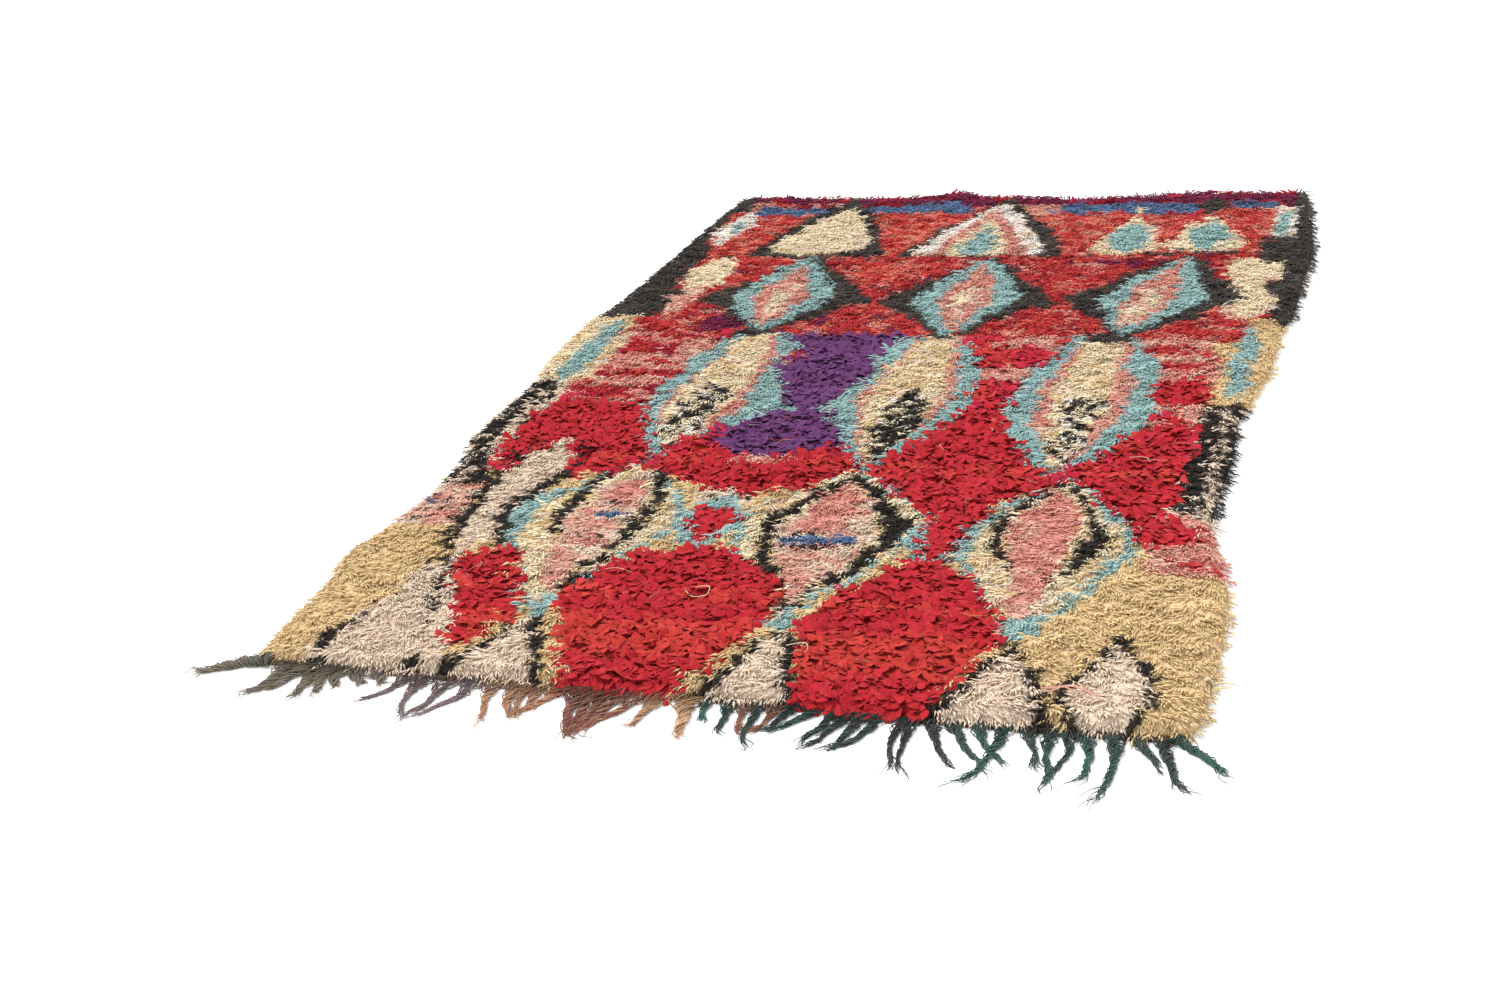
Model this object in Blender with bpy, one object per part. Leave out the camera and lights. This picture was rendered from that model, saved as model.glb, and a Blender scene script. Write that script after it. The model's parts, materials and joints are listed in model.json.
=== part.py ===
"""Boucherouite rug: a shaggy rag and wool rug lying flat, pile up, with a woven band and a fringe at one end.

Metres, +Z up. +X runs across the rug, +Y along it, away from the fringed end. The origin is on the
floor, under the middle of the whole part, fringe included.
"""

import math
import random
from collections import namedtuple

import bmesh
import bpy
from mathutils import Vector, noise
from mathutils.geometry import delaunay_2d_cdt

# The middle of the whole part, in the plan that the tables below are measured in
PLAN_MIDDLE = Vector((-0.022, -0.099))

# Ground weave and pile
WEAVE_THICK = 0.0045
PILE_TOP = 0.0235
PILE_LUMP = 0.0045
PILE_LUMP_SPAN = 0.13
PILE_TUFT_LUMP = 0.0028
PILE_STEP = 0.044
PILE_SCATTER = 0.009
RIM_DROP = 0.009
WEAVE_INSET = 0.015
TOP_INSET = 0.021
RIM_MARGIN = 0.034

# Locks of pile at the rim
LOCK_PITCH = 0.036
LOCK_SHORT = -0.003
LOCK_LONG = 0.010
LOCK_GAP = 0.010
LOCK_SKEW = 0.008
LOCK_Z_LOW = 0.006
LOCK_Z_HIGH = 0.012
LOCK_OVER_BAND = -0.004
CORNER_TRIM = 0.030

# Woven band and fringe
BAND_THICK = 0.0042
BAND_DEEP = 0.014
BAND_GAP = 0.0003
BAND_STEP = 0.05
FRINGE_THICK = 0.008
FRINGE_RINGS = 7
FRINGE_TIP = 0.55
FRINGE_CROWN = 0.6
FRINGE_TIP_THICK = 0.6
FRINGE_UNEVEN = 0.1

# The pile's silhouette: how far left and right it reaches at each station along the rug
Side = namedtuple("Side", "y left right")
SIDES = (
    Side(-1.23, -0.722, 0.712),
    Side(-1.12, -0.735, 0.732),
    Side(-0.98, -0.743, 0.745),
    Side(-0.87, -0.758, 0.738),
    Side(-0.75, -0.745, 0.722),
    Side(-0.62, -0.722, 0.692),
    Side(-0.50, -0.730, 0.694),
    Side(-0.35, -0.737, 0.696),
    Side(-0.20, -0.741, 0.698),
    Side(-0.08, -0.748, 0.718),
    Side(0.05, -0.766, 0.730),
    Side(0.27, -0.774, 0.736),
    Side(0.37, -0.750, 0.747),
    Side(0.55, -0.740, 0.758),
    Side(0.75, -0.728, 0.764),
    Side(0.90, -0.724, 0.756),
    Side(1.02, -0.735, 0.740),
    Side(1.16, -0.718, 0.730),
)

# The near edge, at the band, and the far edge, where pile hides the weave
End = namedtuple("End", "x near far")
ENDS = (
    End(-0.78, -1.222, 1.150),
    End(-0.62, -1.226, 1.164),
    End(-0.45, -1.228, 1.146),
    End(-0.24, -1.228, 1.148),
    End(-0.13, -1.228, 1.192),
    End(-0.04, -1.229, 1.150),
    End(0.15, -1.232, 1.130),
    End(0.33, -1.237, 1.140),
    End(0.43, -1.239, 1.160),
    End(0.56, -1.239, 1.150),
    End(0.76, -1.236, 1.158),
)

# Fringe locks from left to right. bow and tip are sideways, for the middle and for the end of the
# lock. reach is how far it comes out from the band, and wide is its width at the root.
Lock = namedtuple("Lock", "root bow tip reach wide")
FRINGE = (
    Lock(-0.664, -0.004, -0.024, 0.082, 0.016),
    Lock(-0.645, 0.004, -0.009, 0.062, 0.014),
    Lock(-0.624, 0.010, 0.014, 0.090, 0.013),
    Lock(-0.603, 0.006, 0.014, 0.058, 0.012),
    Lock(-0.580, 0.002, 0.000, 0.068, 0.012),
    Lock(-0.552, 0.006, 0.014, 0.044, 0.015),
    Lock(-0.514, 0.006, -0.006, 0.044, 0.015),
    Lock(-0.456, -0.008, -0.045, 0.080, 0.013),
    Lock(-0.424, -0.010, 0.008, 0.098, 0.014),
    Lock(-0.386, 0.004, -0.004, 0.086, 0.014),
    Lock(-0.346, 0.010, -0.024, 0.082, 0.014),
    Lock(-0.303, -0.004, 0.016, 0.110, 0.012),
    Lock(-0.274, 0.004, 0.002, 0.086, 0.013),
    Lock(-0.252, 0.004, 0.004, 0.070, 0.012),
    Lock(-0.231, 0.006, 0.006, 0.062, 0.012),
    Lock(-0.206, 0.012, -0.004, 0.058, 0.014),
    Lock(-0.168, 0.004, 0.034, 0.122, 0.012),
    Lock(-0.149, 0.010, 0.030, 0.098, 0.011),
    Lock(-0.130, 0.010, 0.024, 0.094, 0.012),
    Lock(-0.110, 0.008, 0.018, 0.078, 0.012),
    Lock(-0.080, 0.008, 0.002, 0.068, 0.014),
    Lock(-0.048, 0.012, -0.004, 0.078, 0.014),
    Lock(0.004, 0.004, 0.026, 0.100, 0.019),
    Lock(0.031, 0.012, 0.016, 0.078, 0.012),
    Lock(0.072, -0.002, 0.010, 0.072, 0.011),
    Lock(0.096, -0.002, 0.006, 0.050, 0.010),
    Lock(0.114, -0.002, 0.006, 0.100, 0.011),
    Lock(0.138, 0.006, -0.002, 0.046, 0.012),
    Lock(0.162, -0.008, -0.002, 0.050, 0.012),
    Lock(0.196, 0.010, -0.020, 0.054, 0.014),
    Lock(0.224, -0.004, -0.016, 0.080, 0.012),
    Lock(0.243, 0.000, -0.004, 0.086, 0.014),
    Lock(0.265, 0.004, -0.004, 0.088, 0.014),
    Lock(0.290, 0.010, -0.010, 0.072, 0.014),
    Lock(0.324, -0.002, 0.010, 0.122, 0.009),
    Lock(0.338, 0.002, 0.016, 0.126, 0.010),
    Lock(0.368, 0.020, 0.044, 0.096, 0.012),
    Lock(0.398, 0.040, 0.030, 0.136, 0.013),
    Lock(0.434, 0.016, 0.022, 0.068, 0.013),
    Lock(0.470, 0.000, 0.022, 0.082, 0.013),
    Lock(0.502, 0.018, 0.026, 0.078, 0.012),
    Lock(0.536, 0.000, 0.016, 0.120, 0.013),
    Lock(0.556, 0.014, 0.010, 0.058, 0.010),
    Lock(0.576, 0.030, 0.006, 0.104, 0.014),
    Lock(0.614, 0.030, -0.010, 0.158, 0.013),
    Lock(0.650, 0.014, 0.024, 0.058, 0.011),
    Lock(0.684, 0.002, 0.012, 0.078, 0.016),
)

# The lock at each end of the band, which leaves the corner sideways. bow and drop are towards the
# viewer's side, for the middle and for the end, and out is how far it comes out sideways.
CornerLock = namedtuple("CornerLock", "out bow drop wide")
WEST_LOCK = CornerLock(out=-0.112, bow=0.006, drop=0.046, wide=0.020)
EAST_LOCK = CornerLock(out=0.074, bow=0.024, drop=0.058, wide=0.016)
BAND_WEST = -0.706
BAND_EAST = 0.700

# Colour, roughness and sheen of the two pieces
PILE_COLOUR = (0.48, 0.16, 0.12, 1.0)
FRINGE_COLOUR = (0.13, 0.12, 0.10, 1.0)
WOOL_ROUGHNESS = 0.95
WOOL_SHEEN = 0.4


def smooth_value(table, key, column, at):
    """A column of a table at a place between its rows, eased so that the edge has no corners."""
    places = [getattr(row, key) for row in table]
    values = [getattr(row, column) for row in table]
    if at <= places[0]:
        return values[0]
    for i in range(len(places) - 1):
        if at <= places[i + 1]:
            share = (at - places[i]) / (places[i + 1] - places[i])
            eased = share * share * (3 - 2 * share)
            return values[i] + (values[i + 1] - values[i]) * eased
    return values[-1]


def left_edge(y):
    return smooth_value(SIDES, "y", "left", y)


def right_edge(y):
    return smooth_value(SIDES, "y", "right", y)


def near_edge(x):
    return smooth_value(ENDS, "x", "near", x)


def far_edge(x):
    return smooth_value(ENDS, "x", "far", x)


def steps(start, end, count):
    return [start + (end - start) * i / count for i in range(count)]


def outline_points():
    """The silhouette as one loop against the clock, its four corners cut short to be round."""
    west, east = SIDES[0].left + CORNER_TRIM, SIDES[0].right - CORNER_TRIM
    far_west, far_east = SIDES[-1].left + CORNER_TRIM, SIDES[-1].right - CORNER_TRIM
    south, north = SIDES[0].y + CORNER_TRIM, SIDES[-1].y - CORNER_TRIM
    fine = 400
    loop = [Vector((x, near_edge(x))) for x in steps(west, east, fine)]
    loop += [Vector((right_edge(y), y)) for y in steps(south, north, fine)]
    loop += [Vector((x, far_edge(x))) for x in steps(far_east, far_west, fine)]
    loop += [Vector((left_edge(y), y)) for y in steps(north, south, fine)]
    return loop


def even_points(loop, pitch):
    """Points at even steps round a loop, an even number of them, one for each lock and each gap."""
    lengths = [(loop[i - 1] - loop[i]).length for i in range(len(loop))]
    around = sum(lengths)
    count = 2 * round(around / pitch)
    points = []
    walked = 0.0
    for i, length in enumerate(lengths):
        while len(points) < count and walked + length >= around * len(points) / count:
            share = (around * len(points) / count - walked) / length
            points.append(loop[i - 1].lerp(loop[i], share))
        walked += length
    return points


def outward_normals(points):
    normals = []
    for i in range(len(points)):
        along = points[(i + 1) % len(points)] - points[i - 1]
        normals.append(Vector((along.y, -along.x)).normalized())
    return normals


def pile_height(x, y, rng):
    """The pile's top: slow swells, with the heads of the tufts over them."""
    swell = noise.noise(Vector((x / PILE_LUMP_SPAN, y / PILE_LUMP_SPAN, 0.0)))
    return PILE_TOP + PILE_LUMP * swell + rng.uniform(-PILE_TUFT_LUMP, PILE_TUFT_LUMP)


def to_part(point, z):
    """A point of the plan, moved into the part's own frame."""
    return (point[0] - PLAN_MIDDLE.x, point[1] - PLAN_MIDDLE.y, z)


def inner_lattice(rng):
    """Staggered points inside the rim, one for each lump of pile."""
    points = []
    row_gap = PILE_STEP * math.sqrt(0.75)
    west, east = ENDS[0].x, ENDS[-1].x
    rows = int((SIDES[-1].y - SIDES[0].y) / row_gap) + 2
    columns = int((east - west) / PILE_STEP) + 2
    for row in range(rows):
        for column in range(columns):
            spot = Vector((west + (column + row % 2 / 2) * PILE_STEP, SIDES[0].y + row * row_gap))
            spot += Vector((rng.uniform(-1, 1), rng.uniform(-1, 1))) * PILE_SCATTER
            across = left_edge(spot.y) + RIM_MARGIN < spot.x < right_edge(spot.y) - RIM_MARGIN
            along = near_edge(spot.x) + RIM_MARGIN < spot.y < far_edge(spot.x) - RIM_MARGIN
            if across and along:
                points.append(spot)
    return points


def cap(bm, ring, inner, heights):
    """Triangles over a closed ring of vertices, with more vertices inside it."""
    flat = [vertex.co.to_2d() for vertex in ring] + [Vector(point) for point in inner]
    around = [(i, (i + 1) % len(ring)) for i in range(len(ring))]
    found = delaunay_2d_cdt(flat, around, [], 1, 1e-6)
    places, triangles, sources = found[0], found[2], found[3]
    vertices = []
    for place, source in zip(places, sources):
        if source[0] < len(ring):
            vertices.append(ring[source[0]])
        else:
            vertices.append(bm.verts.new((place.x, place.y, heights[source[0] - len(ring)])))
    for triangle in triangles:
        bm.faces.new([vertices[i] for i in triangle])


def wall(bm, low, high):
    for i in range(len(low)):
        j = (i + 1) % len(low)
        bm.faces.new((low[i], low[j], high[j], high[i]))


def wool(name, colour):
    material = bpy.data.materials.new(name)
    material.use_nodes = True
    shader = material.node_tree.nodes["Principled BSDF"]
    shader.inputs["Base Color"].default_value = colour
    shader.inputs["Roughness"].default_value = WOOL_ROUGHNESS
    shader.inputs["Metallic"].default_value = 0.0
    shader.inputs["Sheen Weight"].default_value = WOOL_SHEEN
    material.diffuse_color = colour
    return material


def add_piece(name, bm, material):
    """Turns a finished bmesh into an object of the scene, its faces pointing out."""
    bmesh.ops.recalc_face_normals(bm, faces=bm.faces)
    mesh = bpy.data.meshes.new(name)
    bm.to_mesh(mesh)
    bm.free()
    mesh.materials.append(material)
    piece = bpy.data.objects.new(name, mesh)
    bpy.context.scene.collection.objects.link(piece)
    return piece


def add_shag_field():
    """Ground weave and pile in one slab: upright at the weave, then locks of pile, then the lumpy top."""
    rng = random.Random(11)
    bm = bmesh.new()
    edge = even_points(outline_points(), LOCK_PITCH)
    normals = outward_normals(edge)
    floor_ring, weave_ring, lock_ring, top_ring = [], [], [], []
    for i, (point, normal) in enumerate(zip(edge, normals)):
        weave = point - normal * WEAVE_INSET
        over_band = normal.y < -0.5
        top = point - normal * TOP_INSET
        if i % 2:
            reach = LOCK_OVER_BAND if over_band else rng.uniform(LOCK_SHORT, LOCK_LONG)
            skew = rng.uniform(-LOCK_SKEW, LOCK_SKEW)
            tip = point + normal * reach + normal.orthogonal() * skew
            tip_z = rng.uniform(LOCK_Z_LOW, LOCK_Z_HIGH)
        else:
            tip = point - normal * LOCK_GAP
            tip_z = LOCK_Z_HIGH
        top_z = pile_height(top.x, top.y, rng) - RIM_DROP
        floor_ring.append(bm.verts.new(to_part(weave, 0.0)))
        weave_ring.append(bm.verts.new(to_part(weave, WEAVE_THICK)))
        lock_ring.append(bm.verts.new(to_part(tip, tip_z)))
        top_ring.append(bm.verts.new(to_part(top, top_z)))
    wall(bm, floor_ring, weave_ring)
    wall(bm, weave_ring, lock_ring)
    wall(bm, lock_ring, top_ring)
    cap(bm, floor_ring, [], [])
    lattice = inner_lattice(rng)
    heights = [pile_height(spot.x, spot.y, rng) for spot in lattice]
    cap(bm, top_ring, [to_part(spot, 0.0)[:2] for spot in lattice], heights)
    return add_piece("shag_field", bm, wool("pile_wool", PILE_COLOUR))


def route_point(route, share):
    """A place on a lock's middle line, a curve from its root through its bow to its tip."""
    start, middle, end = route
    return start.lerp(middle, share).lerp(middle.lerp(end, share), share)


def lock_section(bm, route, wide, share, rng):
    """Four vertices across a lock: two flat on the floor, two on its narrower crown."""
    centre = route_point(route, share)
    ahead = route_point(route, share + 0.01) - route_point(route, share - 0.01)
    across = Vector((-ahead.y, ahead.x)).normalized()
    half = 0.5 * wide * (1 - (1 - FRINGE_TIP) * share) * rng.uniform(1 - FRINGE_UNEVEN, 1 + FRINGE_UNEVEN)
    high = FRINGE_THICK * (1 - (1 - FRINGE_TIP_THICK) * share) * rng.uniform(1 - FRINGE_UNEVEN, 1)
    spots = ((-half, 0.0), (half, 0.0), (half * FRINGE_CROWN, high), (-half * FRINGE_CROWN, high))
    return [bm.verts.new(to_part(centre + across * side, z)) for side, z in spots]


def add_lock(bm, root, route, wide, rng):
    """Carries a face of the band out along a lock and closes it at the tip."""
    ring = root
    for i in range(1, FRINGE_RINGS + 1):
        following = lock_section(bm, route, wide, i / FRINGE_RINGS, rng)
        wall(bm, ring, following)
        ring = following
    bm.faces.new(ring)


def corner_route(x, lock):
    start = Vector((x, near_edge(x) + WEAVE_INSET - BAND_DEEP / 2))
    middle = start + Vector((0.5 * lock.out, -lock.bow))
    return start, middle, start + Vector((lock.out, -lock.drop))


def fringe_route(lock):
    start = Vector((lock.root, near_edge(lock.root) + WEAVE_INSET - BAND_DEEP))
    middle = start + Vector((lock.bow, -0.5 * lock.reach))
    return start, middle, start + Vector((lock.tip, -lock.reach))


def band_stations():
    """Places along the band where its section is drawn: both sides of each root, and steps between."""
    stations = [(BAND_WEST, None)]
    for lock in FRINGE:
        first = lock.root - lock.wide / 2
        here = stations[-1][0]
        parts = math.ceil((first - here) / BAND_STEP)
        stations += [(here + (first - here) * i / parts, None) for i in range(1, parts)]
        stations.append((first, lock))
        stations.append((lock.root + lock.wide / 2, None))
    stations.append((BAND_EAST, None))
    return stations


def band_section(bm, x):
    """Four vertices across the band: low and high at the pile's side, high and low at the fringe's."""
    back = near_edge(x) + WEAVE_INSET - BAND_GAP
    front = near_edge(x) + WEAVE_INSET - BAND_DEEP
    spots = ((back, 0.0), (back, BAND_THICK), (front, BAND_THICK), (front, 0.0))
    return [bm.verts.new(to_part((x, y), z)) for y, z in spots]


def add_fringed_end():
    """The flat-woven band in front of the pile, with the warp ends fused to it as locks."""
    rng = random.Random(5)
    bm = bmesh.new()
    stations = band_stations()
    sections = [band_section(bm, x) for x, _ in stations]
    for (_, lock), here, there in zip(stations, sections, sections[1:]):
        for side in (0, 1, 3):
            after = (side + 1) % 4
            bm.faces.new((here[side], here[after], there[after], there[side]))
        root = [here[3], there[3], there[2], here[2]]
        if lock is None:
            bm.faces.new(root)
        else:
            add_lock(bm, root, fringe_route(lock), lock.wide, rng)
    west, east = sections[0], sections[-1]
    west_root = [west[0], west[3], west[2], west[1]]
    east_root = [east[3], east[0], east[1], east[2]]
    add_lock(bm, west_root, corner_route(BAND_WEST, WEST_LOCK), WEST_LOCK.wide, rng)
    add_lock(bm, east_root, corner_route(BAND_EAST, EAST_LOCK), EAST_LOCK.wide, rng)
    return add_piece("fringed_end", bm, wool("fringe_wool", FRINGE_COLOUR))


def clear_scene():
    for thing in list(bpy.data.objects):
        bpy.data.objects.remove(thing)


clear_scene()
add_shag_field()
add_fringed_end()
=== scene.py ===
"""Looks of a boucherouite rug: a shaggy rag and wool rug lying flat, pile up.

The ground weave is a thin lumpy sheet, the pile is knotted into it yarn by yarn after a chart of
plain figures, and a woven band with twisted warp ends closes the near end.
"""

import json
import math
from collections import namedtuple

import bpy
import numpy as np
from bpy.props import FloatProperty, FloatVectorProperty, IntProperty, PointerProperty
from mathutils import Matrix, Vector

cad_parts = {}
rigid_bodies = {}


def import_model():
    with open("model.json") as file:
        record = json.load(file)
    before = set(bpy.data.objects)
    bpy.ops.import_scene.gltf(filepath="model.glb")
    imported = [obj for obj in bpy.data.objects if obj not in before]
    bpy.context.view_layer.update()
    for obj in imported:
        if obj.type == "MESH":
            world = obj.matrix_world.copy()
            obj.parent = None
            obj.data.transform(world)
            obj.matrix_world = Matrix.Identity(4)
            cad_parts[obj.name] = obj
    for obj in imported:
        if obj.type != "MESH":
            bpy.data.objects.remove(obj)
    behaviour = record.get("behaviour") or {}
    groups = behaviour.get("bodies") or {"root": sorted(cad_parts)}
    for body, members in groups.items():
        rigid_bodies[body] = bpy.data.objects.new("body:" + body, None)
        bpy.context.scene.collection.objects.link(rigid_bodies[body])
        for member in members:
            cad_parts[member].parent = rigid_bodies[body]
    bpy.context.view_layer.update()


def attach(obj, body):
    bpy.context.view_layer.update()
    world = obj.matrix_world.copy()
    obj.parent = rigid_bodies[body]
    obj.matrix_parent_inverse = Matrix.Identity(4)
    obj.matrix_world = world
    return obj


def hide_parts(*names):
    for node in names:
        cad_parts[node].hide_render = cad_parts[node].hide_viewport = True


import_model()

bl_info = {
    "name": "Boucherouite Rug",
    "version": (1, 0, 0),
    "blender": (4, 5, 0),
    "location": "View3D > Sidebar > Rug",
    "description": "Builds a shaggy rag and wool rug with lozenges, a woven band and a fringe",
    "category": "Add Mesh",
}

# From the plan, which the tables below are measured in, to the part's own frame
TO_PART_X = 0.022
TO_PART_Y = 0.099

# How far left and right the pile reaches at each station along the rug
Side = namedtuple("Side", "y left right")
SIDES = (
    Side(-1.23, -0.738, 0.738),
    Side(-1.12, -0.75, 0.746),
    Side(-0.98, -0.755, 0.75),
    Side(-0.87, -0.775, 0.748),
    Side(-0.75, -0.752, 0.728),
    Side(-0.62, -0.734, 0.696),
    Side(-0.5, -0.744, 0.697),
    Side(-0.35, -0.773, 0.705),
    Side(-0.2, -0.77, 0.7),
    Side(-0.08, -0.768, 0.714),
    Side(0.05, -0.79, 0.738),
    Side(0.27, -0.793, 0.743),
    Side(0.37, -0.768, 0.762),
    Side(0.55, -0.756, 0.767),
    Side(0.75, -0.75, 0.778),
    Side(0.9, -0.744, 0.768),
    Side(1.02, -0.738, 0.752),
    Side(1.16, -0.722, 0.745),
)

# The near edge, at the band, and the far edge, where pile hides the weave
End = namedtuple("End", "x near far")
ENDS = (
    End(-0.78, -1.222, 1.172),
    End(-0.62, -1.226, 1.188),
    End(-0.45, -1.228, 1.17),
    End(-0.24, -1.228, 1.17),
    End(-0.13, -1.228, 1.214),
    End(-0.04, -1.229, 1.172),
    End(0.15, -1.232, 1.146),
    End(0.33, -1.237, 1.154),
    End(0.43, -1.239, 1.182),
    End(0.56, -1.239, 1.174),
    End(0.76, -1.236, 1.18),
)
WEAVE_INSET = 0.015
CORNER_TRIM = 0.022

# Fringe locks from left to right, rooted where the part has them, with the wool they are twisted
# from and its shade from 0 to 1. bow and tip are sideways, reach is outwards, and wide is the width
# of the lock. Some neighbours are drawn together at their tips.
Lock = namedtuple("Lock", "root bow tip reach wide wool shade")
FRINGE = (
    Lock(-0.664, -0.004, -0.036, 0.092, 0.028, "grey", 0.35),
    Lock(-0.645, 0.004, -0.038, 0.074, 0.025, "grey", 0.3),
    Lock(-0.624, 0.01, 0.014, 0.088, 0.025, "grey", 0.2),
    Lock(-0.603, 0.006, 0.02, 0.072, 0.024, "grey", 0.25),
    Lock(-0.58, 0.006, 0.02, 0.052, 0.023, "grey", 0.3),
    Lock(-0.552, 0.012, 0.032, 0.036, 0.022, "grey", 0.35),
    Lock(-0.514, 0.012, 0.03, 0.026, 0.022, "grey", 0.45),
    Lock(-0.456, -0.008, -0.046, 0.083, 0.012, "grey", 0.85),
    Lock(-0.424, -0.018, 0.016, 0.108, 0.014, "grey", 0.9),
    Lock(-0.386, 0.002, -0.018, 0.106, 0.013, "grey", 0.85),
    Lock(-0.346, 0.014, -0.056, 0.104, 0.014, "grey", 0.92),
    Lock(-0.303, -0.004, 0.018, 0.109, 0.014, "rust", 0.7),
    Lock(-0.274, 0.002, 0.03, 0.086, 0.016, "rust", 0.62),
    Lock(-0.252, 0.002, 0.01, 0.085, 0.015, "rust", 0.55),
    Lock(-0.231, 0.004, -0.01, 0.08, 0.014, "rust", 0.6),
    Lock(-0.206, 0.008, -0.03, 0.066, 0.016, "rust", 0.66),
    Lock(-0.168, 0.0, 0.034, 0.121, 0.02, "rust", 0.2),
    Lock(-0.149, 0.004, 0.013, 0.118, 0.019, "rust", 0.25),
    Lock(-0.13, 0.006, -0.004, 0.112, 0.02, "rust", 0.15),
    Lock(-0.11, 0.006, -0.022, 0.106, 0.02, "rust", 0.3),
    Lock(-0.08, 0.006, -0.044, 0.09, 0.016, "rust", 0.35),
    Lock(-0.048, 0.01, -0.018, 0.087, 0.017, "rust", 0.72),
    Lock(0.004, 0.006, 0.026, 0.104, 0.024, "rust", 0.92),
    Lock(0.031, 0.01, 0.01, 0.052, 0.013, "green", 0.85),
    Lock(0.072, -0.004, 0.008, 0.078, 0.013, "green", 0.5),
    Lock(0.096, -0.008, 0.016, 0.068, 0.01, "rust", 0.36),
    Lock(0.114, -0.002, 0.006, 0.102, 0.012, "green", 0.4),
    Lock(0.138, 0.01, -0.024, 0.064, 0.012, "rust", 0.3),
    Lock(0.162, -0.004, -0.026, 0.06, 0.012, "green", 0.4),
    Lock(0.196, -0.004, -0.054, 0.054, 0.015, "green", 0.48),
    Lock(0.224, -0.004, -0.028, 0.086, 0.014, "green", 0.35),
    Lock(0.243, 0.0, -0.04, 0.088, 0.015, "green", 0.25),
    Lock(0.265, 0.004, -0.028, 0.088, 0.015, "green", 0.45),
    Lock(0.29, 0.006, -0.05, 0.084, 0.015, "green", 0.3),
    Lock(0.324, -0.002, 0.012, 0.122, 0.009, "green", 0.16),
    Lock(0.338, 0.002, 0.016, 0.128, 0.01, "green", 0.1),
    Lock(0.368, 0.02, 0.058, 0.112, 0.012, "green", 0.08),
    Lock(0.398, 0.026, 0.068, 0.1, 0.013, "green", 0.6),
    Lock(0.434, 0.016, 0.054, 0.09, 0.013, "green", 0.7),
    Lock(0.47, 0.004, -0.042, 0.142, 0.014, "green", 0.62),
    Lock(0.502, 0.014, 0.031, 0.084, 0.012, "green", 0.5),
    Lock(0.536, 0.0, 0.014, 0.124, 0.013, "green", 0.62),
    Lock(0.556, 0.022, -0.008, 0.1, 0.011, "green", 0.45),
    Lock(0.576, 0.036, 0.006, 0.11, 0.015, "green", 0.75),
    Lock(0.614, 0.034, -0.01, 0.15, 0.014, "green", 0.65),
    Lock(0.65, 0.014, 0.046, 0.07, 0.014, "green", 0.45),
    Lock(0.684, 0.006, 0.046, 0.112, 0.017, "green", 0.3),
)
CornerLock = namedtuple("CornerLock", "out bow drop wide wool shade")
BAND_WEST = -0.706
BAND_EAST = 0.700
CORNER_LOCKS = (
    (BAND_WEST, CornerLock(-0.074, 0.003, 0.026, 0.034, "green", 0.8)),
    (BAND_WEST, CornerLock(-0.114, 0.006, 0.047, 0.036, "grey", 0.25)),
    (BAND_EAST, CornerLock(0.074, 0.03, 0.078, 0.018, "green", 0.75)),
)
# How far along the band each wool's locks gather their yarns from, at most
SPLAY = {"grey": 0.026, "rust": 0.026, "green": 0.011}
BAND_DEEP = 0.012
BAND_GAP = 0.0003
# How high the band's rim, its body and its ribs are, how many steps and rows it is made of, how many
# ribs it has and how sharp its edges are
BAND_RIM = 0.0008
BAND_BODY = 0.0022
BAND_RIB = 0.0011
BAND_STEPS = 420
BAND_ROWS = 12
BAND_RIBS = 4
BAND_SHARPNESS = 9
# The band's colours along its noise, and how far that is stretched along the threads
BAND_GRAIN = (14.0, 260.0, 1.0)
BAND_STRIPES = (
    (0.30, (0.014, 0.009, 0.007)),
    (0.48, (0.050, 0.024, 0.014)),
    (0.60, (0.150, 0.056, 0.024)),
    (0.74, (0.170, 0.110, 0.055)),
)

# A lock has so many yarns at least and one more for each spacing of its width. Its turns are given
# for this length, and its yarns flare at their tips, sway together and kink on their own.
Kink = namedtuple("Kink", "spans depths")
KINKS = (Kink((0.018, 0.034), (0.0006, 0.0020)), Kink((0.008, 0.014), (0.0002, 0.0007)))
FEWEST_YARNS = 11
YARN_SPACING = 0.0017
YARN_STEP = 0.0068
YARN_SIDES = 3
TURNS_LENGTH = 0.08
YARN_FLARE = 0.006
LOCK_SWAY = 0.0045
LOCK_HEIGHT = 0.0026
ROOT_RISE = 0.0012
YARN_CLEARANCE = 0.0002
THINNEST_YARN = 0.0003
OUTER_SPLAY = 0.03

# Loose strands that lie on the pile, each from one end to the other with a bow to its left, and a
# shade that picks its colour: dark, red, salmon or pale
Strand = namedtuple("Strand", "x0 y0 x1 y1 bow thick shade")
STRANDS = (
    Strand(0.508, -1.163, 0.588, -1.17, 0.12, 0.0042, 0.64),
    Strand(0.512, -1.168, 0.575, -1.178, 0.2, 0.0024, 0.66),
    Strand(-0.092, -0.938, -0.066, -0.968, 0.6, 0.0018, 0.93),
    Strand(-0.098, -0.952, -0.058, -0.948, -0.45, 0.0016, 0.93),
    Strand(0.114, -1.092, 0.15, -1.112, 0.5, 0.0018, 0.95),
    Strand(0.722, -1.1, 0.766, -1.078, 0.15, 0.005, 0.95),
    Strand(0.724, -1.09, 0.76, -1.084, -0.2, 0.0036, 0.95),
    Strand(0.04, -1.204, 0.022, -1.245, 0.1, 0.0034, 0.04),
    Strand(0.355, -1.206, 0.372, -1.25, 0.15, 0.0034, 0.04),
)
STRAY_SHADES = (0.05, 0.3, 0.33, 0.62, 0.93)
THREAD_LENGTHS = (0.018, 0.050)
THREAD_THICK = 0.0010
STRAND_STEP = 0.005
STRAND_SWAYS = (0.0008, 0.0024)
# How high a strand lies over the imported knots, how far it arches, and how high it is on the floor
STRAND_LIFT = 0.0085
STRAND_ARCH = 0.0016
EDGE_HEIGHT = 0.0052
EDGE_FALL = 0.003

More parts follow.
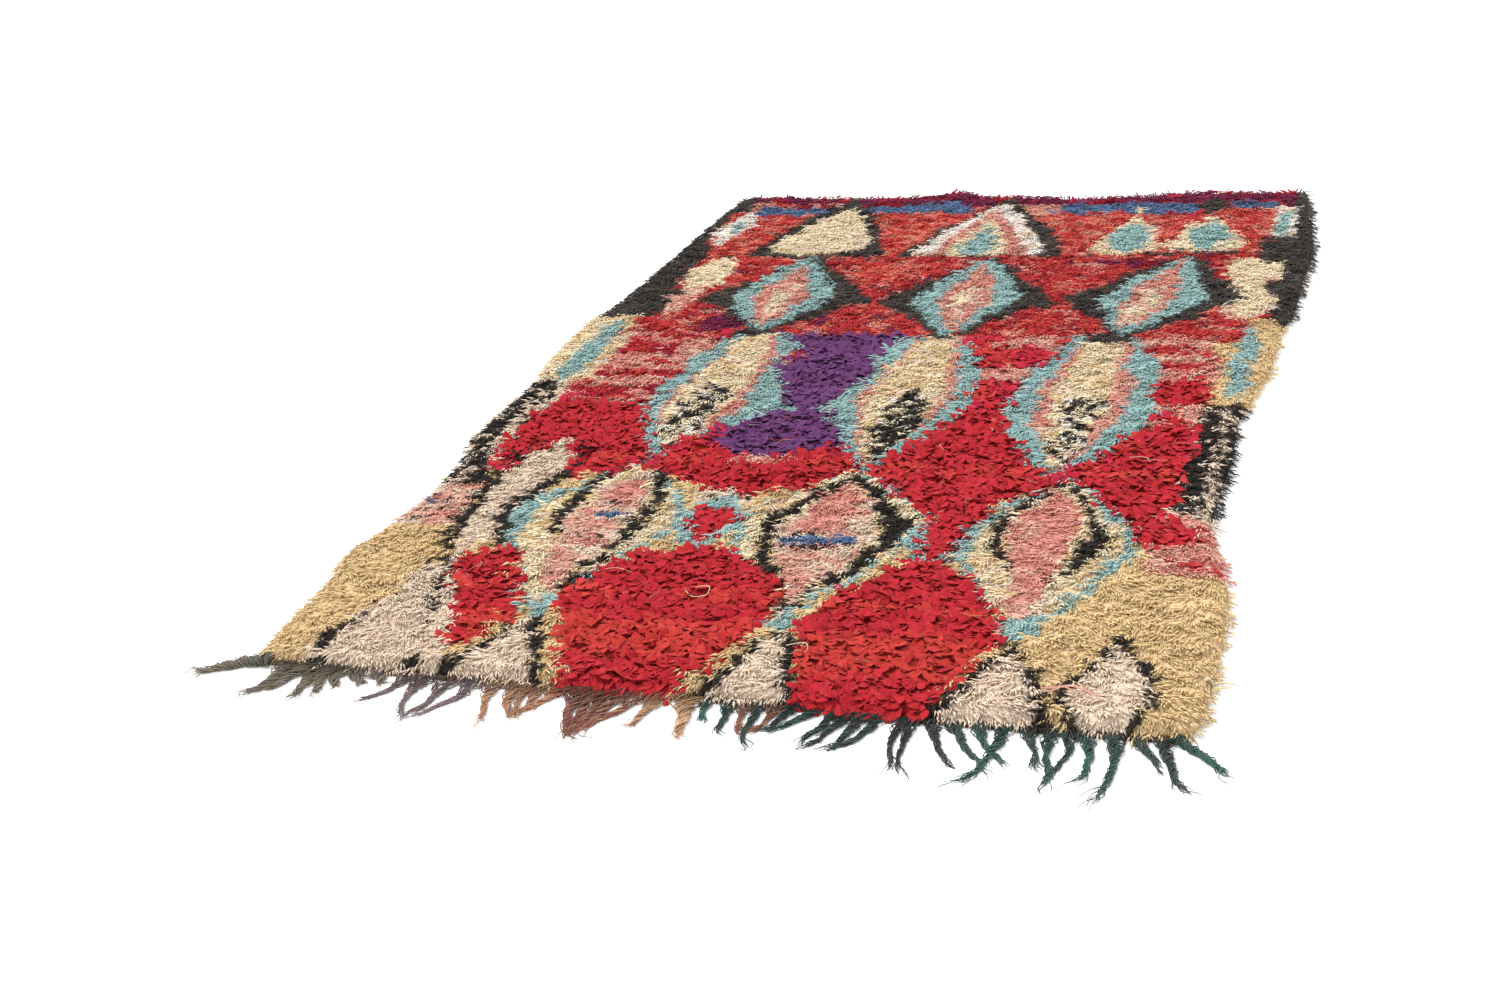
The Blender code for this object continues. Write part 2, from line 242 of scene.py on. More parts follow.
# What each area of the chart is knotted with: wool yarn or rag strips, and the share of each colour
FILLS = {
    "red wool": (
        "wool",
        (("scarlet", 0.49), ("crimson", 0.16), ("coral", 0.21), ("maroon", 0.07), ("salmon", 0.07)),
    ),
    "coral wool": ("wool", (("scarlet", 0.4), ("coral", 0.44), ("salmon", 0.1), ("crimson", 0.06))),
    "red rag": ("rag", (("crimson", 1.0),)),
    "cerise rag": ("rag", (("cerise", 0.64), ("poppy", 0.24), ("crimson", 0.12))),
    "poppy rag": ("rag", (("poppy", 0.86), ("crimson", 0.14))),
    "salmon wool": ("wool", (("salmon", 0.52), ("blush", 0.3), ("beige", 0.06), ("scarlet", 0.12))),
    "rose wool": ("wool", (("scarlet", 0.46), ("cerise", 0.4), ("salmon", 0.14))),
    "purple rag": ("rag", (("purple", 1.0),)),
    "pink": ("wool", (("salmon", 0.8), ("blush", 0.2))),
    "pale pink": ("wool", (("salmon", 0.16), ("blush", 0.56), ("beige", 0.28))),
    "shell": ("wool", (("blush", 0.36), ("beige", 0.44), ("cream", 0.2))),
    "beige": ("wool", (("beige", 1.0),)),
    "cream": ("wool", (("cream", 0.8), ("beige", 0.2))),
    "straw": ("wool", (("cream", 0.56), ("yellow", 0.28), ("beige", 0.16))),
    "yellow": ("wool", (("yellow", 1.0),)),
    "white": ("wool", (("white", 0.86), ("beige", 0.14))),
    "teal": ("wool", (("teal", 1.0),)),
    "charcoal": ("wool", (("charcoal", 1.0),)),
    "slate": ("wool", (("slate", 0.9), ("charcoal", 0.1))),
    "speckled": ("wool", (("charcoal", 0.46), ("white", 0.2), ("cream", 0.34))),
    "dark speckles": ("wool", (("charcoal", 0.76), ("white", 0.08), ("cream", 0.16))),
    "blue": ("wool", (("blue", 1.0),)),
    "maroon": ("wool", (("maroon", 0.78), ("crimson", 0.22))),
}
FILL_NAMES = tuple(FILLS)

# The figures of the chart. A lozenge is widest at the station wide, where it reaches half to each
# side of across; bulge rounds its sides, and lean carries its middle sideways for each metre
# upwards. One with low equal to wide stands on a flat foot. A line is broken over a share of it.
Lozenge = namedtuple("Lozenge", "fill across low wide high half bulge lean", defaults=(0.0,))
Band = namedtuple("Band", "fill left right low high")
Line = namedtuple("Line", "fill x0 y0 x1 y1 width broken", defaults=(0.0,))


def near_triangle(across, top, half):
    """A beige triangle on the near edge, in a dark outline."""
    foot, low, outline = -1.25, -1.3, 0.03
    return (
        Lozenge("charcoal", across, low, foot, top, half, 1.0),
        Lozenge("beige", across, low, foot, top - outline, half - 0.024, 1.0),
    )


CHART = (
    # Yellow ground of the near third
    Band("yellow", -0.9, 0.9, -1.3, -0.46),
    # Rag ground under the long lozenges
    Band("cerise rag", -0.66, 0.66, -0.52, 0.2),
    Lozenge("red rag", -0.5, -0.56, -0.36, -0.1, 0.17, 2.0),
    Lozenge("red rag", -0.135, -0.6, -0.46, -0.34, 0.185, 1.7),
    Lozenge("red rag", 0.245, -0.66, -0.43, -0.15, 0.165, 1.7),
    Lozenge("red rag", 0.56, -0.7, -0.47, -0.3, 0.105, 2.2, 0.1),
    # Stripes in the three columns between the long lozenges
    Band("red rag", 0.46, 0.66, -0.3, 0.2),
    Band("salmon wool", -0.66, -0.42, -0.19, 0.2),
    Band("rose wool", -0.66, -0.5, 0.065, 0.132),
    Band("rose wool", -0.64, -0.44, 0.16, 0.178),
    Band("rose wool", -0.64, -0.42, -0.065, -0.025),
    Band("rose wool", -0.66, -0.44, -0.165, -0.112),
    Band("salmon wool", 0.16, 0.31, 0.12, 0.2),
    Band("salmon wool", 0.16, 0.31, -0.055, 0.022),
    Band("salmon wool", 0.46, 0.64, -0.03, 0.2),
    Band("rose wool", 0.49, 0.61, 0.1, 0.14),
    Band("rose wool", 0.5, 0.61, 0.015, 0.062),
    Band("salmon wool", 0.49, 0.64, -0.24, -0.145),
    Band("cerise rag", 0.52, 0.6, -0.215, -0.195),
    # Side borders beside the long lozenges
    Band("straw", -0.9, -0.632, -0.09, 0.285),
    Lozenge("teal", -0.695, -0.1, 0.07, 0.27, 0.027, 2.6),
    Band("yellow", 0.622, 0.9, -0.15, 0.29),
    Lozenge("teal", 0.672, -0.12, 0.08, 0.275, 0.025, 2.6),
    Band("beige", -0.9, -0.66, -0.62, -0.09),
    Line("charcoal", -0.735, -0.085, -0.725, -0.38, 0.047, 0.18),
    Line("charcoal", -0.725, -0.38, -0.655, -0.6, 0.044, 0.18),
    Line("charcoal", -0.688, -0.1, -0.672, -0.34, 0.024, 0.25),
    Line("charcoal", -0.765, -0.38, -0.7, -0.6, 0.028, 0.35),
    Band("beige", 0.618, 0.9, -0.6, -0.15),
    Line("charcoal", 0.64, -0.15, 0.64, -0.6, 0.04, 0.08),
    Line("charcoal", 0.692, -0.13, 0.692, -0.6, 0.044, 0.08),
    Line("charcoal", 0.726, -0.36, 0.722, -0.6, 0.032, 0.2),
    # Purple blocks and the teal that joins the lozenges beside them
    Band("teal", -0.27, 0.0, -0.3, -0.085),
    Band("teal", -0.3, -0.19, -0.24, 0.192),
    Band("teal", -0.075, 0.02, -0.1, 0.192),
    Lozenge("purple rag", -0.132, -0.215, 0.0, 0.6, 0.09, 2.4),
    Lozenge("purple rag", -0.15, 0.06, 0.192, 0.192, 0.156, 0.9),
    Lozenge("rose wool", -0.226, 0.01, 0.06, 0.115, 0.03, 2.0),
    Lozenge("purple rag", -0.13, -0.425, -0.34, -0.205, 0.128, 2.6, 0.12),
    Lozenge("salmon wool", -0.13, -0.47, -0.445, -0.42, 0.07, 2.0),
    # Long lozenges
    Lozenge("teal", -0.35, -0.46, -0.14, 0.34, 0.112, 1.6),
    Lozenge("pink", -0.336, -0.44, -0.15, 0.36, 0.082, 1.5),
    Lozenge("straw", -0.343, -0.43, -0.15, 0.34, 0.066, 1.6),
    Lozenge("speckled", -0.34, -0.43, -0.19, -0.085, 0.044, 2.4),
    Lozenge("teal", 0.062, -0.48, -0.16, 0.35, 0.136, 1.5),
    Lozenge("pink", 0.06, -0.46, -0.15, 0.36, 0.086, 1.5),
    Lozenge("straw", 0.057, -0.45, -0.15, 0.32, 0.069, 1.5),
    Lozenge("dark speckles", 0.072, -0.44, -0.18, -0.1, 0.04, 3.0),
    Lozenge("teal", 0.397, -0.48, -0.16, 0.35, 0.141, 1.7),
    Lozenge("pink", 0.4, -0.45, -0.15, 0.36, 0.082, 1.6),
    Lozenge("straw", 0.395, -0.44, -0.15, 0.33, 0.058, 1.6),
    Lozenge("speckled", 0.406, -0.43, -0.18, -0.095, 0.038, 2.4),
    # Long beige lozenge and pink block at the left
    Lozenge("beige", -0.552, -0.87, -0.55, -0.36, 0.066, 1.5),
    Line("charcoal", -0.505, -0.385, -0.482, -0.5, 0.022, 0.15),
    Line("charcoal", -0.482, -0.5, -0.525, -0.66, 0.03, 0.1),
    Line("charcoal", -0.525, -0.64, -0.52, -0.73, 0.04, 0.05),
    Line("charcoal", -0.52, -0.72, -0.49, -0.83, 0.032, 0.2),
    Line("charcoal", -0.605, -0.38, -0.63, -0.56, 0.026, 0.25),
    Line("charcoal", -0.63, -0.56, -0.605, -0.74, 0.034, 0.12),
    Line("charcoal", -0.605, -0.74, -0.575, -0.86, 0.032, 0.22),
    Band("pale pink", -0.9, -0.622, -0.765, -0.59),
    Line("charcoal", -0.72, -0.65, -0.62, -0.645, 0.008, 0.35),
    Line("charcoal", -0.72, -0.7, -0.62, -0.69, 0.007, 0.45),
    Line("charcoal", -0.72, -0.732, -0.63, -0.728, 0.007, 0.35),
    Line("blue", -0.71, -0.664, -0.64, -0.66, 0.008, 0.3),
    # Teal forks with the small red figures between the round lozenges
    Lozenge("beige", -0.15, -0.66, -0.6, -0.56, 0.06, 1.4),
    Line("charcoal", -0.19, -0.59, -0.16, -0.625, 0.014, 0.25),
    Line("charcoal", -0.11, -0.59, -0.135, -0.615, 0.014, 0.25),
    Lozenge("teal", -0.146, -0.835, -0.7, -0.575, 0.066, 1.3),
    Lozenge("red rag", -0.145, -0.785, -0.675, -0.625, 0.04, 1.3),
    Lozenge("teal", 0.262, -0.85, -0.68, -0.52, 0.066, 1.4),
    Lozenge("red rag", 0.262, -0.795, -0.61, -0.48, 0.054, 1.2),
    Lozenge("salmon wool", 0.235, -0.675, -0.65, -0.63, 0.014, 2.0),
    Band("salmon wool", 0.602, 0.9, -0.795, -0.6),
    Lozenge("red rag", 0.625, -0.712, -0.665, -0.625, 0.048, 2.0),
    # Round lozenges: teal, yellow, a broken dark ring, and a pink middle with streaks
    Lozenge("teal", -0.352, -1.03, -0.69, -0.46, 0.166, 1.3),
    Lozenge("straw", -0.35, -1.01, -0.69, -0.47, 0.138, 1.4),
    Line("charcoal", -0.392, -0.5, -0.43, -0.62, 0.024, 0.12),
    Line("charcoal", -0.424, -0.62, -0.41, -0.765, 0.025, 0.05),
    Line("charcoal", -0.305, -0.495, -0.272, -0.62, 0.024, 0.12),
    Line("charcoal", -0.272, -0.62, -0.275, -0.76, 0.03, 0.1),
    Line("charcoal", -0.275, -0.76, -0.318, -0.96, 0.026, 0.22),
    Lozenge("pale pink", -0.347, -0.96, -0.7, -0.52, 0.056, 1.9),
    Lozenge("pink", -0.335, -0.67, -0.61, -0.53, 0.03, 1.9),
    Line("blue", -0.376, -0.69, -0.306, -0.686, 0.015),
    Line("charcoal", -0.365, -0.64, -0.3, -0.642, 0.008, 0.3),
    Line("charcoal", -0.385, -0.735, -0.305, -0.73, 0.007, 0.55),
    Line("charcoal", -0.38, -0.768, -0.305, -0.775, 0.007, 0.55),
    Lozenge("teal", 0.062, -1.03, -0.68, -0.47, 0.162, 1.5),
    Lozenge("straw", 0.06, -1.01, -0.68, -0.48, 0.148, 1.6),
    Lozenge("charcoal", 0.068, -0.985, -0.7, -0.49, 0.127, 1.6),
    Lozenge("straw", 0.068, -0.965, -0.7, -0.52, 0.09, 1.6),
    Lozenge("pale pink", 0.07, -0.95, -0.71, -0.53, 0.074, 1.9),
    Lozenge("pink", 0.06, -0.72, -0.63, -0.54, 0.045, 1.9),
    Line("blue", -0.002, -0.748, 0.132, -0.742, 0.022),
    Line("charcoal", 0.02, -0.768, 0.13, -0.762, 0.009, 0.15),
    Line("charcoal", 0.015, -0.726, 0.12, -0.728, 0.007, 0.4),
    Lozenge("teal", 0.436, -1.04, -0.69, -0.47, 0.146, 1.4),
    Lozenge("straw", 0.434, -1.02, -0.69, -0.48, 0.124, 1.4),
    Lozenge("charcoal", 0.432, -0.9, -0.68, -0.49, 0.09, 1.7),
    Lozenge("straw", 0.432, -0.9, -0.68, -0.505, 0.068, 1.7),
    Lozenge("pale pink", 0.434, -0.99, -0.9, -0.86, 0.026, 1.8),
    Lozenge("pink", 0.43, -0.93, -0.69, -0.52, 0.052, 2.0),
    Line("teal", 0.56, -0.64, 0.575, -0.745, 0.026, 0.1),
    Line("teal", 0.575, -0.745, 0.53, -0.81, 0.02, 0.25),
    Lozenge("teal", 0.5, -0.93, -0.9, -0.865, 0.013, 1.6),
    # Rag blocks along the near end
    Line("red rag", -0.496, -0.848, -0.392, -1.09, 0.11),
    Lozenge("red rag", -0.432, -1.18, -1.09, -1.02, 0.046, 1.2),
    Lozenge("red rag", -0.122, -1.02, -1.02, -0.785, 0.174, 3.4),
    Lozenge("red rag", -0.112, -1.4, -1.02, -1.019, 0.172, 1.15),
    Lozenge("red rag", 0.264, -1.03, -1.03, -0.778, 0.148, 1.8),
    Lozenge("red rag", 0.262, -1.42, -1.03, -1.029, 0.148, 1.2),
    # Beige triangles with broken dark outlines along the near end
    Lozenge("beige", -0.52, -1.3, -1.25, -0.84, 0.14, 1.0, -0.1),
    Line("charcoal", -0.57, -0.86, -0.61, -1.08, 0.014, 0.88),
    Line("charcoal", -0.568, -0.862, -0.59, -0.905, 0.022, 0.1),
    Line("charcoal", -0.622, -1.1, -0.65, -1.16, 0.024, 0.2),
    Line("charcoal", -0.64, -1.14, -0.618, -1.23, 0.02, 0.35),
    Line("charcoal", -0.56, -0.88, -0.515, -1.01, 0.018, 0.2),
    Line("charcoal", -0.515, -1.01, -0.478, -1.13, 0.014, 0.5),
    *near_triangle(-0.32, -1.02, 0.108),
    *near_triangle(0.092, -1.015, 0.094),
    *near_triangle(0.443, -1.015, 0.1),
    Lozenge("charcoal", 0.602, -1.3, -1.16, -0.985, 0.076, 1.1),
    Lozenge("beige", 0.602, -1.29, -1.16, -1.02, 0.054, 1.2),
    Line("charcoal", -0.46, -1.19, -0.458, -1.26, 0.03),
    Line("charcoal", -0.398, -1.2, -0.398, -1.26, 0.026),
    Lozenge("teal", -0.322, -1.045, -1.01, -0.98, 0.022, 1.6),
    Lozenge("teal", 0.086, -1.04, -1.005, -0.98, 0.018, 1.6),
    Lozenge("teal", 0.452, -1.04, -1.0, -0.95, 0.024, 1.6),
    # Wool ground of the second row, with its purple patches
    Band("red wool", -0.66, 0.66, 0.185, 0.69),
    Lozenge("coral wool", -0.165, 0.5, 0.61, 0.69, 0.11, 2.0),
    Lozenge("maroon", 0.39, 0.615, 0.655, 0.69, 0.075, 2.0),
    Lozenge("maroon", 0.535, 0.63, 0.66, 0.69, 0.03, 2.0),
    Lozenge("maroon", -0.455, 0.195, 0.245, 0.3, 0.055, 2.0),
    Lozenge("maroon", -0.23, 0.225, 0.262, 0.3, 0.016, 2.0),
    Band("slate", -0.9, -0.652, 0.44, 0.76),
    Band("slate", -0.9, -0.628, 0.285, 0.46),
    Lozenge("cream", -0.592, 0.4, 0.58, 0.7, 0.056, 2.2),
    Lozenge("pale pink", -0.598, 0.29, 0.4, 0.5, 0.036, 2.2),
    Band("slate", 0.702, 0.9, 0.29, 0.9),
    Lozenge("slate", 0.715, 0.34, 0.45, 0.54, 0.04, 2.0),
    Lozenge("cream", 0.648, 0.455, 0.6, 0.7, 0.062, 2.4),
    Lozenge("pale pink", 0.648, 0.275, 0.39, 0.5, 0.056, 2.2),
    Lozenge("cream", 0.654, 0.29, 0.4, 0.53, 0.04, 2.2),
    Lozenge("slate", -0.352, 0.165, 0.4, 0.705, 0.208, 0.88, -0.05),
    Lozenge("teal", -0.366, 0.19, 0.415, 0.7, 0.124, 1.15, -0.05),
    Lozenge("pink", -0.366, 0.225, 0.4, 0.64, 0.058, 1.4, -0.05),
    Lozenge("shell", -0.366, 0.26, 0.39, 0.52, 0.032, 1.5),
    Lozenge("slate", 0.058, 0.165, 0.39, 0.705, 0.206, 0.88),
    Lozenge("teal", 0.056, 0.19, 0.41, 0.7, 0.12, 1.15),
    Lozenge("pink", 0.06, 0.225, 0.4, 0.64, 0.06, 1.2),
    Lozenge("shell", 0.06, 0.26, 0.39, 0.51, 0.032, 1.5),
    Lozenge("slate", 0.462, 0.165, 0.42, 0.715, 0.196, 0.9, 0.14),
    Lozenge("teal", 0.456, 0.19, 0.42, 0.705, 0.108, 1.15, 0.16),
    Lozenge("pink", 0.45, 0.225, 0.41, 0.665, 0.056, 1.2, 0.16),
    Lozenge("shell", 0.44, 0.25, 0.37, 0.5, 0.034, 1.5, 0.16),
    Band("slate", -0.4, -0.31, 0.168, 0.205),
    Line("slate", 0.03, 0.19, 0.1, 0.19, 0.022, 0.35),
    Band("slate", 0.362, 0.452, 0.168, 0.205),
    # Wool ground of the first row, under its triangles
    Band("coral wool", -0.7, 0.7, 0.69, 1.02),
    Band("maroon", -0.66, 0.7, 1.07, 1.3),
    Band("coral wool", -0.6, -0.54, 1.075, 1.1),
    Band("pink", -0.68, -0.6, 1.03, 1.13),
    Band("pink", -0.5, -0.47, 1.085, 1.12),
    Band("pink", -0.45, -0.42, 1.08, 1.1),
    Band("coral wool", -0.66, 0.68, 1.0, 1.03),
    Band("blue", -0.625, -0.43, 1.02, 1.072),
    Band("blue", -0.34, -0.07, 1.02, 1.088),
    Lozenge("blue", -0.12, 1.04, 1.07, 1.13, 0.058, 1.0),
    Band("blue", 0.15, 0.485, 1.0, 1.082),
    Band("blue", 0.555, 0.665, 1.04, 1.082),
    Band("pink", 0.06, 0.15, 1.0, 1.075),
    Band("slate", -0.9, -0.688, 0.75, 1.2),
    Band("slate", -0.9, -0.66, 1.04, 1.2),
    Band("slate", -0.9, -0.655, 0.66, 0.79),
    Lozenge("white", -0.645, 0.78, 0.91, 1.05, 0.04, 2.0, 0.06),
    Lozenge("teal", -0.64, 0.85, 0.9, 0.96, 0.01, 2.0),
    Band("slate", 0.7, 0.9, 0.65, 1.2),
    Band("white", 0.664, 0.72, 0.83, 1.055),
    Band("teal", 0.676, 0.706, 0.84, 1.01),
    Band("slate", 0.655, 0.9, 0.65, 0.835),
    Lozenge("slate", -0.378, 0.69, 0.7, 1.18, 0.162, 1.45, -0.03),
    Lozenge("cream", -0.38, 0.7, 0.74, 1.07, 0.122, 1.6),
    Lozenge("slate", 0.032, 0.69, 0.69, 1.15, 0.188, 1.3, -0.04),
    Lozenge("white", 0.022, 0.698, 0.698, 1.105, 0.152, 1.4, -0.05),
    Lozenge("pink", 0.016, 0.698, 0.698, 1.045, 0.118, 1.2, -0.04),
    Lozenge("cream", 0.01, 0.698, 0.698, 0.975, 0.082, 1.2, -0.02),
    Lozenge("teal", 0.006, 0.698, 0.77, 0.915, 0.036, 1.8),
    Lozenge("cream", 0.345, 0.7, 0.745, 0.99, 0.08, 1.5, 0.02),
    Lozenge("teal", 0.351, 0.715, 0.8, 0.95, 0.047, 1.7),
    Lozenge("cream", 0.524, 0.7, 0.76, 0.995, 0.082, 1.5),
    Lozenge("teal", 0.528, 0.725, 0.81, 0.955, 0.05, 1.7),
    Lozenge("slate", 0.518, 1.0, 1.07, 1.12, 0.034, 2.0),
    Lozenge("cream", 0.346, 0.995, 1.03, 1.06, 0.014, 2.0),
    Line("slate", -0.62, 0.688, 0.48, 0.692, 0.01, 0.45),
    Line("slate", 0.4, 0.712, 0.6, 0.714, 0.02, 0.15),
)

# Rag blocks turn from crimson to poppy red between these stations
WARM_ROWS = ((-1.155, -1.035), (-0.965, -0.940), (-0.475, -0.440))

# Slow uneven waves: the usual distance from crest to crest, and the seed that they are drawn from
Wave = namedtuple("Wave", "span seed")
RIPPLES = 7
RIPPLE_SPANS = (0.6, 1.9)
RIPPLE_SUM = 3.2
WANDER_ACROSS = Wave(0.075, 3)
WANDER_ALONG = Wave(0.11, 4)
LINE_GAPS = Wave(0.030, 5)
STREAKS = Wave(0.034, 7)
CLUMPS = Wave(0.026, 8)
SLOW_SWELLS = Wave(0.13, 11)
TUFT_LUMPS = Wave(0.042, 12)
ROW_BENDS = Wave(0.5, 31)
WIDE_LAY = Wave(0.40, 41)
TUFT_LAY = Wave(0.075, 42)
FADED_PATCHES = Wave(0.11, 51)
# Knots of one colour come in streaks along the rows, black and cream ones in clumps
STREAK_STRETCH = 0.40
CLUMP_STRENGTH = 2.4
COLOUR_SCATTER = 0.8

# A knot: how many ends, their size, how far they rise and fan, how wide the knot's foot is, the
# stations along an end where it has its width, and how uneven that width is
KnotShape = namedtuple("KnotShape", "ends length width thick lift spread foot stations ragged")
# A kind of pile: its knots and how far apart they are, how wildly they turn and roll, and how far
# ahead of its foot a knot shows its colour
KnotKind = namedtuple("KnotKind", "name shape pitch_x pitch_y wild roll reach")
# How the ends of a knot vary: their aim in radians, their root and skew as shares of the length,
# and their length, width, thickness and lift against those of their kind
END_VARIES = {
    "aim": (-0.25, 0.25),
    "root": (-0.35, 0.25),
    "length": (0.70, 1.25),
    "width": (0.75, 1.25),
    "thick": (0.8, 1.2),
    "lift": (0.35, 1.3),
    "skew": (-0.22, 0.22),
}
# How many knots of each kind are shaped, for the rest to be copied from
TEMPLATES = 9
# How far apart the tones of neighbouring ends are
TONE_STRIDE = 0.618
# How deep a knot's foot is sunk, how far along its arch an end stops, and how much a strip twists
FOOT_DEPTH = 0.0015
ARCH = 0.62
STRIP_TWIST = 1.4
# How far knots slip along their rows, how far the rows bend, and how far inside the rim they stop
KNOT_SCATTER = 0.30
ROW_SAG = 0.006
SIDE_INSET = WEAVE_INSET - 0.003
NEAR_INSET = WEAVE_INSET - 0.007
FAR_INSET = WEAVE_INSET - 0.011
KNOTTED_HALF = 0.80
PAST_LAST_STATION = 0.08
# How far the lay swings with its waves, in radians, and how much calmer it is beside the edges
LAY_SWINGS = (0.55, 0.85)
CALM_BESIDE = 0.75
# How knots vary in size, how much smaller they are at the rim and the sides, and how they tilt
KNOT_SIZES = (0.85, 1.2)
RIM_SHRINK = 0.10
SIDE_SHRINK = 0.06
KNOT_TILT = math.radians(6)
MOST_TILT = 0.2
MOST_ROLL = 0.6
# How deep knots sit, and how much less deep on the rim's slope
KNOT_SINK = 0.0010
RIM_LIFT = 0.0014
# The darkest tone and the span above it, with the shares of faded patches, of painted shade in the
# valleys between tuft lumps and of chance
TONE_LOW = 0.04
TONE_SPAN = 0.56
TONE_SHARES = (0.30, 0.35, 0.35)
# How the tones of one knot's ends differ, and how much brighter a yarn is painted for each metre of its
# height: painted light on upper yarns, painted shade on lower ones
END_TONES = 0.34
HEIGHT_LIGHT_PER_METRE = 4.0

# The weave's size before its edges are set, and how soon its corners round off along its length
WEAVE_WIDE = 1.48
WEAVE_LONG = 2.40
CORNER_SHARPNESS = 60
WEAVE_SEED = 5
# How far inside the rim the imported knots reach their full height, and how much sooner at the far edge
SHOULDER = 0.024
FAR_STEEPNESS = 5.0
# Grain of the yarns and the rags along their own maps, and how deep fibres and folds are
WOOL_GRAIN = (90.0, 14.0, 1.0)
RAG_GRAIN = (75.0, 5.0, 1.0)
FIBRE_DEPTH = 0.0006
RAG_CRUMPLE = 0.0012

# How far the figures' edges wander, and how far and how unevenly each row of knots slips sideways
EDGE_WANDER = 0.009
ROW_SLIP = 0.006
SLIP_RATES = (12.9898, 4.137)
ROW_PITCH = 0.014

# How strongly the left, right, near and far edges turn the knots outwards, how far in, and how much
# sooner than at the rim itself the slope counts in full
RIM_PULLS = (0.35, 0.30, 1.5, 0.5)
RIM_REACH = 0.022
RIM_EARLY = 0.3
# How strongly the last knots along the sides and the far edge turn outwards, how deep those last
# rows are and how steeply their tips hang
SIDE_OVERHANG = 0.8
FAR_OVERHANG = 2.2
LAST_ROWS = 0.012
RIM_HANG = math.radians(26)
# How far down the far edge's side a knot sits for each metre that it would stand beyond it
FAR_DROOP = 1.3
# How far ahead of a knot the slope that it lies on is measured
SLOPE_REACH = 0.010
# How much higher the rim stands along the far edge, where no band holds the pile down
FAR_RISE = 0.0105
FAR_RISE_REACH = 0.03
# How many rows of the weave the curves of its near and far edges reach across
CURVED_ROWS = 8

# Where the camera of the photograph stood and how it was turned about X, Y and Z, in degrees
CAMERA_PLACE = (0.989, -3.2556, 1.4043)
CAMERA_TURNS = (64.672, 6.259, 18.350)
CAMERA_LENS = 44.78
SENSOR_WIDTH = 36.0
CAMERA_SIGHT = 60.0

# The floor and the main light
FLOOR_HALF = 9.0
FLOOR_DROP = 0.0004
KEY_FROM = (-0.75, 0.15, 1.35)
KEY_SOFTNESS = math.radians(24)

# No yarn goes under the floor, and none stands above the tallest tufts
LOWEST = 0.0003
HIGHEST = 0.0385
MOST_TRIANGLES = 199000
BAKE_MAP = "OFBake"


def eased(table, key, column, at):
    """A column of a table at places between its rows, eased so that the edge has no corners."""
    at = np.asarray(at, float)
    places = np.array([getattr(row, key) for row in table])
    values = np.array([getattr(row, column) for row in table])
    first = np.clip(np.searchsorted(places, at) - 1, 0, len(places) - 2)
    share = np.clip((at - places[first]) / (places[first + 1] - places[first]), 0.0, 1.0)
    share = share * share * (3 - 2 * share)
    return values[first] + (values[first + 1] - values[first]) * share


def left_edge(y):
    return eased(SIDES, "y", "left", y)


def right_edge(y):
    return eased(SIDES, "y", "right", y)


def near_edge(x):
    return eased(ENDS, "x", "near", x)


def far_edge(x):
    return eased(ENDS, "x", "far", x)


def swell(x, y, wave):
    """A slow, uneven wave between about -1 and 1, the same on every run."""
    rng = np.random.default_rng(wave.seed)
    total = np.zeros_like(x)
    for _ in range(RIPPLES):
        turn, phase = rng.uniform(0, 2 * math.pi, 2)
        rate = 2 * math.pi / (wave.span * rng.uniform(*RIPPLE_SPANS))
        total = total + np.sin(rate * (x * math.cos(turn) + y * math.sin(turn)) + phase)
    return total / RIPPLE_SUM


def in_lozenge(figure, x, y):
    middle = figure.across + figure.lean * (y - figure.wide)
    over = (y - figure.wide) / max(figure.high - figure.wide, 1e-6)
    under = (figure.wide - y) / max(figure.wide - figure.low, 1e-6)
    share = np.clip(np.where(y >= figure.wide, over, under), 0.0, 1.0)
    reach = figure.half * (1 - share**figure.bulge)
    return (np.abs(x - middle) < reach) & (y > figure.low) & (y < figure.high)


def in_band(figure, x, y):
    return (x > figure.left) & (x < figure.right) & (y > figure.low) & (y < figure.high)


def in_line(figure, x, y, gaps):
    along_x, along_y = figure.x1 - figure.x0, figure.y1 - figure.y0
    length = math.hypot(along_x, along_y)
    share = ((x - figure.x0) * along_x + (y - figure.y0) * along_y) / length**2
    aside = np.abs((x - figure.x0) * along_y - (y - figure.y0) * along_x) / length
    on = (share > 0) & (share < 1) & (aside < figure.width / 2)
    return on & (gaps > figure.broken)


def charted(x, y):
    """Which fill each knot belongs to, as an index into FILL_NAMES."""
    row = np.floor(y / ROW_PITCH)
    slip = ROW_SLIP * np.sin(row * SLIP_RATES[0]) * np.cos(row * SLIP_RATES[1])
    wander_x = EDGE_WANDER * swell(x, y, WANDER_ACROSS) + slip
    wander_y = EDGE_WANDER * 0.7 * swell(x, y, WANDER_ALONG)
    u, v = x + wander_x, y + wander_y
    gaps = 0.5 + 0.55 * swell(x, y, LINE_GAPS)
    found = np.zeros(x.shape, int)
    for figure in CHART:
        if isinstance(figure, Lozenge):
            inside = in_lozenge(figure, u, v)
        elif isinstance(figure, Band):
            inside = in_band(figure, u, v)
        else:
            inside = in_line(figure, x + wander_x * 0.5, y + wander_y * 0.5, gaps)
        found[inside] = FILL_NAMES.index(figure.fill)
    red = FILL_NAMES.index("red rag")
    for low, high in WARM_ROWS:
        warm = (found == red) & (v > low) & (v < high)
        found[warm] = FILL_NAMES.index("poppy rag")
    return found


